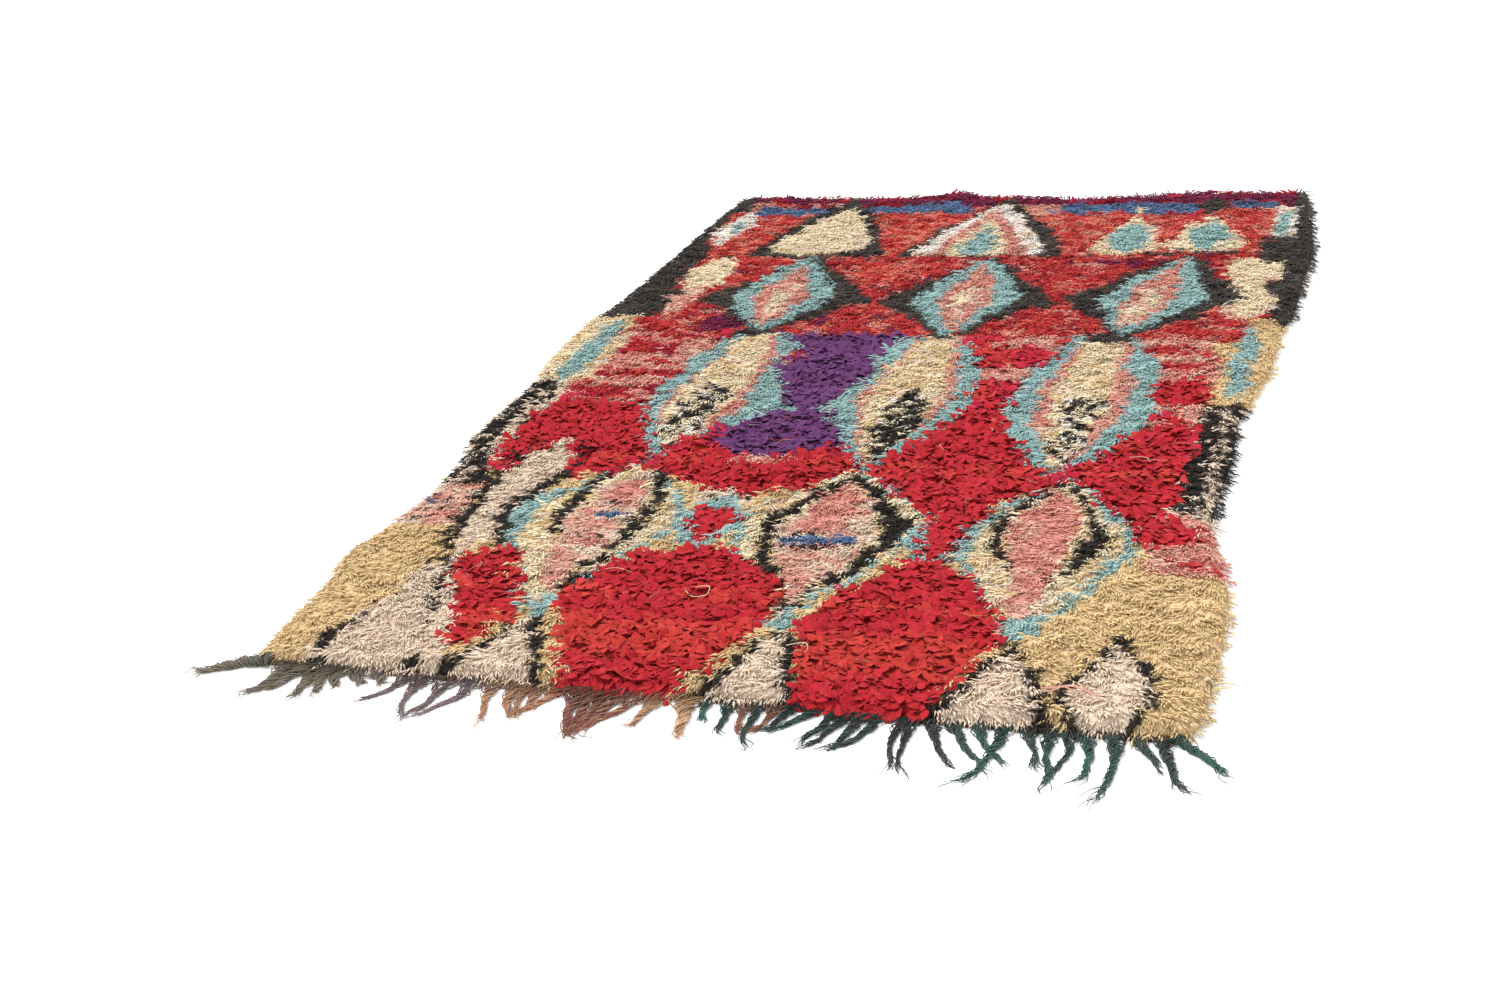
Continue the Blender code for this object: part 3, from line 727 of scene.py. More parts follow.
def colour_of(fills, x, y, rng):
    """The yarn colour of each knot, drawn from its fill's shares, in streaks or clumps."""
    streaks = swell(STREAK_STRETCH * x, y, STREAKS)
    clumps = CLUMP_STRENGTH * swell(x, y, CLUMPS)
    speckled = np.isin(fills, [FILL_NAMES.index(name) for name in ("speckled", "dark speckles")])
    order = np.where(speckled, clumps, streaks) + COLOUR_SCATTER * rng.random(x.shape)
    colours = np.empty(x.shape, dtype=object)
    for index, name in enumerate(FILL_NAMES):
        here = fills == index
        if not here.any():
            continue
        ranks = np.argsort(np.argsort(order[here])) / here.sum()
        bounds = np.cumsum([share for _, share in FILLS[name][1]])
        picks = np.searchsorted(bounds, ranks * bounds[-1], side="right")
        names = np.array([colour for colour, _ in FILLS[name][1]], dtype=object)
        colours[here] = names[np.clip(picks, 0, len(names) - 1)]
    return colours


def dye(name, description, colour):
    """A colour that a user can change, in linear red, green and blue."""
    return FloatVectorProperty(name=name, description=description, subtype="COLOR", default=colour)


def metres(name, description, length):
    """A length that a user can change."""
    return FloatProperty(name=name, description=description, unit="LENGTH", default=length)


class YarnColours(bpy.types.PropertyGroup):
    """Colours of the pile, one for each dye lot."""

    crimson: dye("Crimson", "Deep red rags and wool", (0.4, 0.017, 0.025))
    cerise: dye("Cerise", "Pinkish red rags", (0.42, 0.016, 0.037))
    poppy: dye("Poppy", "Warm red rags", (0.455, 0.036, 0.03))
    scarlet: dye("Scarlet", "Main red wool", (0.58, 0.052, 0.05))
    coral: dye("Coral", "Faded orange red wool", (0.74, 0.176, 0.125))
    salmon: dye("Salmon", "Warm pink", (0.72, 0.3, 0.24))
    blush: dye("Blush", "Pale faded pink", (0.78, 0.44, 0.34))
    beige: dye("Beige", "Pinkish undyed wool", (0.83, 0.665, 0.515))
    cream: dye("Cream", "Yellowish undyed wool", (0.89, 0.75, 0.51))
    yellow: dye("Yellow", "Straw yellow", (0.78, 0.565, 0.295))
    white: dye("White", "Off-white wool", (0.93, 0.86, 0.78))
    teal: dye("Teal", "Pale blue-green", (0.345, 0.525, 0.51))
    charcoal: dye("Charcoal", "Brownish black", (0.034, 0.027, 0.023))
    slate: dye("Slate", "Dark grey wool", (0.08, 0.068, 0.06))
    purple: dye("Purple", "Dark violet", (0.118, 0.036, 0.126))
    blue: dye("Blue", "Dull mid blue", (0.118, 0.195, 0.345))
    maroon: dye("Maroon", "Dark purplish red", (0.2, 0.025, 0.07))


class PileSettings(bpy.types.PropertyGroup):
    """Sizes of the knots."""

    wool_length: metres("Wool length", "Length of a wool end", 0.021)
    wool_width: metres("Wool width", "Thickness of a wool end", 0.0032)
    wool_pitch: metres("Wool pitch", "Distance between wool knots", 0.0128)
    rag_length: metres("Rag length", "Length of a rag strip", 0.023)
    rag_width: metres("Rag width", "Width of a rag strip", 0.0150)
    rag_pitch: metres("Rag pitch", "Distance between rag knots", 0.0136)
    seed: IntProperty(name="Seed", description="Seed for the knots' places", default=21)


class WeaveSettings(bpy.types.PropertyGroup):
    """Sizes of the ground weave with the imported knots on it."""

    top: metres("Top", "Height of the packed knots", 0.0168)
    rim: metres("Rim", "Height of the weave at its rim", 0.0070)
    lump: metres("Lump", "Height of the slow swells", 0.0022)
    tuft: metres("Tuft", "Height of the lumps of single tufts", 0.0030)
    step: metres("Step", "Distance between the sheet's vertices", 0.011)


class FringeSettings(bpy.types.PropertyGroup):
    """Sizes and colours of the twisted warp ends and the woven band."""

    yarn: metres("Yarn", "Thickness of one warp yarn", 0.0020)
    turns: FloatProperty(name="Turns", description="Turns of the twist in each lock", default=2.0)
    seed: IntProperty(name="Seed", description="Seed for the uneven twist", default=8)
    grey_low: dye("Olive grey", "First shade of grey", (0.19, 0.152, 0.098))
    grey_high: dye("Mauve grey", "Last shade of grey", (0.16, 0.105, 0.115))
    rust_low: dye("Rust", "First shade of rust", (0.23, 0.075, 0.045))
    rust_high: dye("Sand", "Last shade of rust", (0.48, 0.28, 0.15))
    green_low: dye("Dark green", "First shade of green", (0.014, 0.02, 0.017))
    green_high: dye("Sea green", "Last shade of green", (0.022, 0.104, 0.075))


class StrandSettings(bpy.types.PropertyGroup):
    """Loose strands and stray threads."""

    stray: IntProperty(name="Stray threads", description="How many thin stray threads", default=110)
    seed: IntProperty(name="Seed", description="Seed for the stray threads", default=14)
    dark: dye("Dark", "Dark strands", (0.03, 0.026, 0.022))
    red: dye("Red", "Red threads", (0.42, 0.03, 0.035))
    salmon: dye("Salmon", "Salmon strands", (0.64, 0.19, 0.17))
    pale: dye("Pale", "Pale strands", (0.74, 0.62, 0.42))


class StageSettings(bpy.types.PropertyGroup):
    """Floor and lights."""

    floor: dye("Floor", "Colour of the floor", (0.93, 0.93, 0.93))
    sky: FloatProperty(name="Sky", description="Strength of the light all round", default=1.15)
    key: FloatProperty(name="Key", description="Strength of the main light", default=2.6)


def rim_distances(x, y):
    """How far each place is inside the left, right, near and far edge."""
    return x - left_edge(y), right_edge(y) - x, y - near_edge(x), far_edge(x) - y


def tuft_lumps(x, y):
    """The lumps that neighbouring knots make together, between about -1 and 1."""
    return np.clip(swell(x, y, TUFT_LUMPS), -1.1, 1.1)


def close_to_rim(distance, reach, early=0.0):
    """1 at the weave's rim and 0 at reach inside it; early lets it reach 1 a share sooner."""
    return np.clip(1 + early - (distance - WEAVE_INSET) / reach, 0, 1)


def packed_height(x, y, weave):
    """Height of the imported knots: slow swells, falling away towards the rim."""
    left, right, near, far = (edge - WEAVE_INSET for edge in rim_distances(x, y))
    share = np.clip(np.min([left, right, near, far * FAR_STEEPNESS], axis=0) / SHOULDER, 0.0, 1.0)
    share = share * (2 - share)
    top = weave.top + weave.lump * swell(x, y, SLOW_SWELLS) + weave.tuft * tuft_lumps(x, y)
    rim = weave.rim + FAR_RISE * np.clip(1 - far / FAR_RISE_REACH, 0, 1)
    return rim + (top - rim) * share


def in_part(x, y):
    return x + TO_PART_X, y + TO_PART_Y


def shader_of(material):
    return next(node for node in material.node_tree.nodes if node.type == "BSDF_PRINCIPLED")


def feed(tree, node, feeds):
    """Link each input to the socket that feeds it, or set it to a value of its own."""
    for name, source in feeds.items():
        if isinstance(source, bpy.types.NodeSocket):
            tree.links.new(source, node.inputs[name])
        else:
            node.inputs[name].default_value = source


def add_node(tree, kind, feeds=None, **settings):
    """A node with its settings, its inputs linked or set."""
    node = tree.nodes.new(kind)
    for name, value in settings.items():
        setattr(node, name, value)
    feed(tree, node, feeds or {})
    return node


def map_range(tree, source, given, wanted, **settings):
    """The socket of a node that maps one range of values to another."""
    feeds = {"Value": source, "From Min": given[0], "From Max": given[1]}
    feeds.update({"To Min": wanted[0], "To Max": wanted[1]})
    return add_node(tree, "ShaderNodeMapRange", feeds, **settings).outputs["Result"]


def noise_on(tree, place, scale, detail):
    """The height of a noise at a place."""
    feeds = {"Vector": place, "Scale": scale, "Detail": detail}
    return add_node(tree, "ShaderNodeTexNoise", feeds).outputs["Fac"]


def stretched(tree, place, scale):
    """A place scaled by its own amount along each axis."""
    return add_node(tree, "ShaderNodeMapping", {"Vector": place, "Scale": scale}).outputs["Vector"]


def ramp_of(tree, source, stops):
    """The colour of a ramp with these stops, each a place and a colour."""
    ramp = add_node(tree, "ShaderNodeValToRGB", {"Fac": source})
    elements = ramp.color_ramp.elements
    while len(elements) < len(stops):
        elements.new(0.5)
    for i, (at, colour) in enumerate(stops):
        elements[i].position = at
        elements[i].color = (*colour, 1.0)
    return ramp.outputs["Color"]


def darkened(tree, colour, factor):
    """A colour times the value of a socket."""
    feeds = {0: colour, "Scale": factor}
    return add_node(tree, "ShaderNodeVectorMath", feeds, operation="SCALE").outputs["Vector"]


def dress(material, colour, height, strength, distance):
    """Give a material its colour and the bumps of a height, on its own shader."""
    tree = material.node_tree
    feeds = {"Height": height, "Strength": strength, "Distance": distance}
    bump = add_node(tree, "ShaderNodeBump", feeds).outputs["Normal"]
    feed(tree, shader_of(material), {"Base Color": colour, "Normal": bump})
    return material


def new_material(name, roughness, sheen):
    """An empty woollen finish: rough, with a little sheen, its colour still to be linked."""
    material = bpy.data.materials.new(name)
    material.use_nodes = True
    feeds = {"Roughness": roughness, "Sheen Weight": sheen, "Sheen Roughness": 0.55}
    feeds["Specular IOR Level"] = 0.10
    feed(material.node_tree, shader_of(material), feeds)
    return material


def mixed(first, second, share):
    return tuple(a + (b - a) * share for a, b in zip(first, second))


def scaled(colour, factor):
    return tuple(min(1.0, channel * factor) for channel in colour)


def yarn_material(name, tones, depth, fuzz=0.25, crumple=0.0):
    """Wool whose tone goes with u on its own map, and whose roots, at low v, get painted shade.

    With a crumple it is a rag instead, with bumps of that depth, a grain that runs along it, and painted
    shade in the creases of its folds.
    """
    rag = crumple > 0
    material = new_material(name, 0.93, fuzz)
    tree = material.node_tree
    place = add_node(tree, "ShaderNodeUVMap", uv_map=BAKE_MAP).outputs["UV"]
    split = add_node(tree, "ShaderNodeSeparateXYZ", {"Vector": place})
    stops = [(i / (len(tones) - 1), tone) for i, tone in enumerate(tones)]
    plain = ramp_of(tree, split.outputs["X"], stops)
    # Painted shade: the roots, at low v, are darkened down to depth, and the tips keep their colour
    shade = map_range(
        tree, split.outputs["Y"], given=(0.08, 0.75), wanted=(depth, 1.0), interpolation_type="SMOOTHSTEP"
    )
    grain = stretched(tree, place, RAG_GRAIN if rag else WOOL_GRAIN)
    fibres = noise_on(tree, grain, scale=1.0, detail=3.0)
    # Grain along the wool; on rags the same noise also paints shade into the creases of the folds
    grain_and_crease_shade = map_range(tree, fibres, given=(0.30, 0.70), wanted=(0.80 if rag else 0.86, 1.12))
    both = add_node(tree, "ShaderNodeMath", {0: shade, 1: grain_and_crease_shade}, operation="MULTIPLY")
    colour = darkened(tree, plain, both.outputs["Value"])
    strength, distance = (0.9, crumple) if rag else (0.5, FIBRE_DEPTH)
    return dress(material, colour, fibres, strength, distance)


def tones_of(colour):
    """Dark, plain and faded tones of one dye lot."""
    pale = mixed(colour, (0.9, 0.85, 0.78), 0.10)
    return (scaled(colour, 0.70), scaled(colour, 0.92), scaled(colour, 1.05), scaled(pale, 1.18))


def mesh_piece(name, vertices, faces, material=None):
    mesh = bpy.data.meshes.new(name)
    mesh.from_pydata(vertices, [], faces)
    mesh.update()
    if material is not None:
        mesh.materials.append(material)
    piece = bpy.data.objects.new(name, mesh)
    bpy.context.scene.collection.objects.link(piece)
    return piece


def shade_smooth(mesh):
    mesh.polygons.foreach_set("use_smooth", np.ones(len(mesh.polygons), bool))


def section(centre, along, aside, width, thick, uneven):
    """Three vertices across a yarn end or strip: flat below, a low ridge above."""
    flat = (aside - along * aside.dot(along)).normalized()
    over = along.cross(flat)
    if over.z < 0:
        over = -over
    left, right, ridge, twist = uneven
    turn = STRIP_TWIST * (twist - 1)
    ahead, aslant = math.cos(turn), math.sin(turn)
    flat, over = flat * ahead + over * aslant, over * ahead - flat * aslant
    return [
        centre - flat * (0.5 * width * left) - over * (0.3 * thick * right),
        centre + flat * (0.5 * width * right) - over * (0.3 * thick * left),
        centre + flat * (0.3 * width * (right - left)) + over * (0.6 * thick * ridge),
    ]


def tuft_end(root, aim, length, width, thick, lift, stations, skew, uneven):
    """One yarn end or rag strip that arches over and lies down: places, triangles and their map."""
    ahead = Vector((math.cos(aim), math.sin(aim), 0.0))
    aside = Vector((-ahead.y, ahead.x, 0.0))

    def path(share):
        rise = lift * math.sin(math.pi * ARCH * share)
        return root + ahead * (length * share) + Vector((0, 0, rise)) + aside * (skew * share * share)

    places = [path(0.0) - Vector((0, 0, FOOT_DEPTH))]
    for share, own in zip(stations, uneven):
        along = (path(share + 0.05) - path(share - 0.05)).normalized()
        places += section(path(share), along, aside, width, thick, own)
    places.append(path(1.0))
    tip = len(places) - 1
    marks = (0.02, *stations, 0.98)
    triangles, corners = [], []
    for i in range(3):
        j = (i + 1) % 3
        left, right = i / 3, (i + 1) / 3
        triangles.append((0, 1 + j, 1 + i))
        corners.append(((left, marks[0]), (right, marks[1]), (left, marks[1])))
        for k in range(len(stations) - 1):
            low, high = 1 + 3 * k, 4 + 3 * k
            triangles += [(low + i, low + j, high + j), (low + i, high + j, high + i)]
            corners.append(((left, marks[k + 1]), (right, marks[k + 1]), (right, marks[k + 2])))
            corners.append(((left, marks[k + 1]), (right, marks[k + 2]), (left, marks[k + 2])))
        last = 1 + 3 * (len(stations) - 1)
        triangles.append((last + i, last + j, tip))
        corners.append(((left, marks[-2]), (right, marks[-2]), (left, marks[-1])))
    return places, triangles, corners


def knot_template(name, shape, rng):
    """One knot: a few ends from one root that fan out over each other and lie along +X."""
    vertices, faces, corners = [], [], []
    for i in range(shape.ends):
        own = {part: rng.uniform(*bounds) for part, bounds in END_VARIES.items()}
        side = (i + 0.5) / shape.ends - 0.5
        places, triangles, marks = tuft_end(
            root=Vector((own["root"] * shape.length, side * shape.foot, 0.0)),
            aim=shape.spread * (2 * (i + 0.5) / shape.ends - 1) + own["aim"],
            length=shape.length * own["length"],
            width=shape.width * own["width"],
            thick=shape.thick * own["thick"],
            lift=shape.lift * own["lift"],
            stations=shape.stations,
            skew=own["skew"] * shape.length,
            uneven=rng.uniform(1 - shape.ragged, 1 + shape.ragged, (len(shape.stations), 4)),
        )
        start = len(vertices)
        vertices += places
        faces += [tuple(start + k for k in face) for face in triangles]
        tone = (i * TONE_STRIDE) % 1.0
        corners += [[(tone * 0.86 + u * 0.12, v) for u, v in face] for face in marks]
    piece = mesh_piece(name, vertices, faces)
    layer = piece.data.uv_layers.new(name=BAKE_MAP)
    layer.data.foreach_set("uv", np.array(corners, float).ravel())
    return piece


def new_tree(name, given, result):
    """An empty tree with named inputs and one output, its sockets, its given values and its end."""
    tree = bpy.data.node_groups.new(name, "GeometryNodeTree")
    sockets = {
        label: tree.interface.new_socket(name=label, in_out="INPUT", socket_type="NodeSocket" + kind)
        for label, kind in given.items()
    }
    tree.interface.new_socket(name=result, in_out="OUTPUT", socket_type="NodeSocketGeometry")
    start = add_node(tree, "NodeGroupInput")
    return tree, sockets, start.outputs, add_node(tree, "NodeGroupOutput")


def attribute_of(tree, name, data_type="FLOAT"):
    """The value that each point or corner holds under a name."""
    node = add_node(tree, "GeometryNodeInputNamedAttribute", {"Name": name}, data_type=data_type)
    return node.outputs["Attribute"]


def sum_of(tree, first, second):
    node = add_node(tree, "ShaderNodeMath", {0: first, 1: second}, operation="ADD")
    return node.outputs["Value"]


def mapped(tree, geometry, u, v):
    """The geometry with a map of its own, which the finish reads."""
    place = add_node(tree, "ShaderNodeCombineXYZ", {"X": u, "Y": v}).outputs["Vector"]
    feeds = {"Geometry": geometry, "Name": BAKE_MAP, "Value": place}
    kind = "GeometryNodeStoreNamedAttribute"
    return add_node(tree, kind, feeds, data_type="FLOAT2", domain="CORNER").outputs["Geometry"]


def realized(tree, geometry):
    """Copies made real, since an export drops instances."""
    node = add_node(tree, "GeometryNodeRealizeInstances", {"Geometry": geometry})
    return node.outputs["Geometry"]


def finished(tree, geometry, finish, end, name):
    """The last step of a tree: the geometry gets its finish and goes out under a name."""
    node = add_node(tree, "GeometryNodeSetMaterial", {"Geometry": geometry, "Material": finish})
    feed(tree, end, {name: node.outputs["Geometry"]})


def knotting_tree():
    """Knots set on points: each turned and sized by its point, toned by it, and made one mesh."""
    given = {"Points": "Geometry", "Knots": "Collection", "Kinds": "Int", "Seed": "Int"}
    given.update({"Tone share": "Float", "Finish": "Material"})
    tree, sockets, start, end = new_tree("Knotting", given, "Pile")
    feeds = {"Collection": start["Knots"], "Separate Children": True, "Reset Children": True}
    info = add_node(tree, "GeometryNodeCollectionInfo", feeds)
    last = add_node(tree, "ShaderNodeMath", {0: start["Kinds"], 1: 1.0}, operation="SUBTRACT")
    pick = add_node(tree, "FunctionNodeRandomValue", {"Seed": start["Seed"]}, data_type="INT")
    bounds = {socket.identifier: socket for socket in pick.inputs}
    bounds["Min_002"].default_value = 0
    tree.links.new(last.outputs["Value"], bounds["Max_002"])
    whole = next(socket for socket in pick.outputs if socket.identifier == "Value_002")
    turn = attribute_of(tree, "turn", "FLOAT_VECTOR")
    feeds = {
        "Points": start["Points"],
        "Instance": info.outputs["Instances"],
        "Pick Instance": True,
        "Instance Index": whole,
        "Rotation": add_node(tree, "FunctionNodeEulerToRotation", {0: turn}).outputs[0],
        "Scale": attribute_of(tree, "size", "FLOAT_VECTOR"),
    }
    plant = add_node(tree, "GeometryNodeInstanceOnPoints", feeds)
    real = realized(tree, plant.outputs["Instances"])
    own = attribute_of(tree, BAKE_MAP, "FLOAT_VECTOR")
    split = add_node(tree, "ShaderNodeSeparateXYZ", {"Vector": own})
    feeds = {0: split.outputs["X"], 1: start["Tone share"]}
    share = add_node(tree, "ShaderNodeMath", feeds, operation="MULTIPLY")
    u = sum_of(tree, share.outputs["Value"], attribute_of(tree, "tone"))
    finished(tree, mapped(tree, real, u, split.outputs["Y"]), start["Finish"], end, "Pile")
    return tree, sockets


def set_attribute(mesh, name, kind, field, values):
    layer = mesh.attributes.new(name, kind, "POINT")
    layer.data.foreach_set(field, np.ascontiguousarray(values, dtype=np.float32).ravel())


def add_carrier(mesh, label, tree, sockets, given):
    """An object that carries a tree over a mesh, with the tree's inputs set."""
    carrier = bpy.data.objects.new(mesh.name, mesh)
    bpy.context.scene.collection.objects.link(carrier)
    modifier = carrier.modifiers.new(label, "NODES")
    modifier.node_group = tree
    for name, value in given.items():
        modifier[sockets[name].identifier] = value
    return carrier


def plain_mesh(carrier, name, material, drop, smooth=True):
    """The evaluated result of a carrier's nodes as a plain piece; the carrier goes."""
    graph = bpy.context.evaluated_depsgraph_get()
    mesh = bpy.data.meshes.new_from_object(carrier.evaluated_get(graph))
    mesh.name = name
    for attribute in drop:
        found = mesh.attributes.get(attribute)
        if found is not None:
            mesh.attributes.remove(found)
    mesh.materials.clear()
    mesh.materials.append(material)
    places = np.empty(len(mesh.vertices) * 3, np.float32)
    mesh.vertices.foreach_get("co", places)
    places[2::3] = np.clip(places[2::3], LOWEST, HIGHEST)
    mesh.vertices.foreach_set("co", places)
    if smooth:
        shade_smooth(mesh)
    piece = bpy.data.objects.new(name, mesh)
    bpy.context.scene.collection.objects.link(piece)
    old = carrier.data
    bpy.data.objects.remove(carrier)
    bpy.data.meshes.remove(old)
    return piece


# Knots of one kind, with where they stand, how they are turned and how their tone and size vary
Knots = namedtuple("Knots", "x y z turn size tone")


def plant_knots(name, knots, templates, tree, sockets, material, smooth):
    """One piece of all the knots of one colour."""
    mesh = bpy.data.meshes.new(name + "_points")
    x, y = in_part(knots.x, knots.y)
    mesh.vertices.add(len(x))
    mesh.vertices.foreach_set("co", np.stack([x, y, knots.z], 1).astype(np.float32).ravel())
    set_attribute(mesh, "turn", "FLOAT_VECTOR", "vector", knots.turn)
    set_attribute(mesh, "size", "FLOAT_VECTOR", "vector", knots.size)
    set_attribute(mesh, "tone", "FLOAT", "value", knots.tone)
    given = {"Knots": templates, "Kinds": len(templates.objects), "Seed": len(PILE_PIECES)}
    given.update({"Tone share": END_TONES, "Finish": material})
    carrier = add_carrier(mesh, "Knotting", tree, sockets, given)
    piece = plain_mesh(carrier, name, material, ("turn", "size", "tone"), smooth)
    triangles = len(piece.data.polygons)
    if triangles > MOST_TRIANGLES:
        raise RuntimeError(f"{name} has {triangles} triangles, more than {MOST_TRIANGLES}")
    return piece


def knot_places(pitch_x, pitch_y, rng):
    """Rows of knots from edge to edge, each a little out of line."""
    rows = np.arange(SIDES[0].y, SIDES[-1].y + PAST_LAST_STATION, pitch_y)
    columns = np.arange(-KNOTTED_HALF, KNOTTED_HALF, pitch_x)
    x, y = np.meshgrid(columns, rows)
    x = x + (np.arange(len(rows)) % 2)[:, None] * pitch_x / 2
    x = x + rng.uniform(-KNOT_SCATTER, KNOT_SCATTER, x.shape) * pitch_x
    y = y + rng.uniform(-KNOT_SCATTER, KNOT_SCATTER, y.shape) * pitch_y
    x, y = x.ravel(), y.ravel()
    y = y + ROW_SAG * swell(x, y, ROW_BENDS)
    left, right, near, far = rim_distances(x, y)
    keep = (left > SIDE_INSET) & (right > SIDE_INSET) & (near > NEAR_INSET) & (far > FAR_INSET)
    corner = np.minimum(left, right) + np.minimum(near, far)
    keep &= corner > 2 * SIDE_INSET + CORNER_TRIM * 0.5
    return x[keep], y[keep]


def lay_of(x, y, rng, wild):
    """Which way each knot's tips point, in radians, how near the rim it is and how far it hangs."""
    edges = rim_distances(x, y)
    stray = LAY_SWINGS[0] * swell(x, y, WIDE_LAY) + LAY_SWINGS[1] * swell(x, y, TUFT_LAY)
    stray = stray + rng.normal(0, wild, x.shape)
    beside = close_to_rim(np.minimum(*edges[:2]), RIM_REACH, RIM_EARLY)
    main = -math.pi / 2 + stray * (1 - CALM_BESIDE * beside)
    pull = [close_to_rim(edge, RIM_REACH) * part for edge, part in zip(edges, RIM_PULLS)]
    last = [close_to_rim(edge, LAST_ROWS) for edge in edges]
    ahead_x = np.cos(main) - pull[0] + pull[1] + SIDE_OVERHANG * (last[1] - last[0])
    ahead_y = np.sin(main) - pull[2] + pull[3] + FAR_OVERHANG * last[3]
    aim = np.arctan2(ahead_y, ahead_x)
    outwards = (-np.cos(aim), np.cos(aim), -np.sin(aim), np.sin(aim))
    hang = np.max([row * np.clip(out, 0, 1) for row, out in zip(last, outwards)], axis=0)
    rim = np.clip(np.max([beside, pull[2] * 0.5], axis=0), 0, 1)
    return aim, beside, rim, hang


def make_knots(x, y, weave, rng, wild, roll):
    """Knots that follow the slope they lie on, and hang outwards in the last rows."""
    aim, beside, rim, hang = lay_of(x, y, rng, wild)
    tilt = np.clip(rng.normal(0, KNOT_TILT, x.shape), -MOST_TILT, MOST_TILT)
    height = packed_height(x, y, weave)
    ahead_x, ahead_y = SLOPE_REACH * np.cos(aim), SLOPE_REACH * np.sin(aim)
    fall = height - packed_height(x + ahead_x, y + ahead_y, weave)
    rise = packed_height(x - ahead_y, y + ahead_x, weave) - height
    other = height - packed_height(x + ahead_y, y - ahead_x, weave)
    rise = np.where(np.abs(rise) > np.abs(other), rise, other)
    edges = rim_distances(x, y)
    sloping = close_to_rim(np.min(edges, axis=0), RIM_REACH, RIM_EARLY)
    tip_down = tilt * (1 - 0.5 * rim) + np.arctan(fall / SLOPE_REACH) * sloping + RIM_HANG * hang
    lean = np.clip(rng.normal(0, roll, x.shape), -MOST_ROLL, MOST_ROLL)
    lean = lean + np.arctan(rise / SLOPE_REACH) * sloping
    turn = np.stack([lean, tip_down, aim], 1)
    grow = rng.uniform(*KNOT_SIZES, x.shape) * (1 - RIM_SHRINK * rim - SIDE_SHRINK * beside)
    size = np.stack([grow, grow, grow], 1)
    patch = 0.5 + 0.5 * np.clip(swell(x, y, FADED_PATCHES), -1, 1)
    # Painted shade: knots in the valleys between the tuft lumps get darker tones
    lumps = 0.5 + 0.45 * tuft_lumps(x, y)
    parts = zip(TONE_SHARES, (patch, lumps, rng.random(x.shape)))
    tone = TONE_LOW + TONE_SPAN * sum(share * part for share, part in parts)
    beyond = np.clip(WEAVE_INSET - edges[3], 0, None)
    z = height - KNOT_SINK + RIM_LIFT * sloping - FAR_DROOP * beyond
    return Knots(x, y - beyond, z, turn, size, tone)


def pick_knots(knots, keep):
    return Knots(*(column[keep] for column in knots))


def new_templates(name, shape):
    """Knots of one shape that differ a little, for the tree to pick from."""
    collection = bpy.data.collections.new(name)
    rng = np.random.default_rng(TEMPLATES + len(name))
    for i in range(TEMPLATES):
        piece = knot_template(f"{name}_{i}", shape, rng)
        bpy.context.scene.collection.objects.unlink(piece)
        collection.objects.link(piece)
    return collection


def remove_templates(collection):
    for piece in list(collection.objects):
        mesh = piece.data
        bpy.data.objects.remove(piece)
        bpy.data.meshes.remove(mesh)
    bpy.data.collections.remove(collection)


PILE_PIECES = []


def ride_and_slot(piece):
    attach(piece, "root")


class RUG_OT_stage(bpy.types.Operator):
    """Add the floor, the soft lights and the camera"""

    bl_idname = "rug.stage"
    bl_label = "Floor, lights and camera"

    def execute(self, context):
        scene = context.scene
        stage = scene.rug_stage
        scene.view_settings.view_transform = "Standard"
        corners = [(-1, -1), (1, -1), (1, 1), (-1, 1)]
        spots = [(FLOOR_HALF * x, FLOOR_HALF * y, -FLOOR_DROP) for x, y in corners]
        floor = mesh_piece("floor", spots, [(0, 1, 2, 3)])
        finish = bpy.data.materials.new("pale_floor")
        finish.use_nodes = True
        feeds = {"Base Color": (*stage.floor, 1.0), "Roughness": 0.85}
        feed(finish.node_tree, shader_of(finish), feeds)
        floor.data.materials.append(finish)
        world = bpy.data.worlds.new("pale_sky")
        world.use_nodes = True
        feeds = {"Color": (1.0, 1.0, 1.0, 1.0), "Strength": stage.sky}
        feed(world.node_tree, world.node_tree.nodes["Background"], feeds)
        scene.world = world
        lamp = bpy.data.lights.new("key", "SUN")
        lamp.energy = stage.key
        lamp.angle = KEY_SOFTNESS
        key = bpy.data.objects.new("key", lamp)
        key.rotation_euler = Vector(KEY_FROM).to_track_quat("Z", "Y").to_euler()
        scene.collection.objects.link(key)
        camera = bpy.data.objects.new("camera", bpy.data.cameras.new("camera"))
        camera.data.lens = CAMERA_LENS
        camera.data.sensor_width = SENSOR_WIDTH
        camera.data.clip_end = CAMERA_SIGHT
        camera.location = CAMERA_PLACE
        camera.rotation_euler = [math.radians(turn) for turn in CAMERA_TURNS]
        scene.collection.objects.link(camera)
        scene.camera = camera
        return {"FINISHED"}


def grid_quads(columns, rows):
    """The quads of a grid of places that runs row by row."""
    wide = columns + 1
    starts = [row * wide + column for row in range(rows) for column in range(columns)]
    return [(at, at + 1, at + wide + 1, at + wide) for at in starts]


def grid_rim(columns, rows):
    """The places round a grid's rim, once round from its first corner."""
    wide = columns + 1
    rim = list(range(wide))
    rim += [row * wide + columns for row in range(1, rows + 1)]
    rim += [rows * wide + column for column in range(columns - 1, -1, -1)]
    rim += [row * wide for row in range(rows - 1, 0, -1)]
    return rim


def grid_places(x, y, z):
    """A grid's places in the part's frame, one to a row."""
    return np.stack([*in_part(x, y), z], -1).reshape(-1, 3)


def next_round(rim):
    """Each place of a rim with the one after it."""
    return list(zip(rim, rim[1:] + rim[:1]))


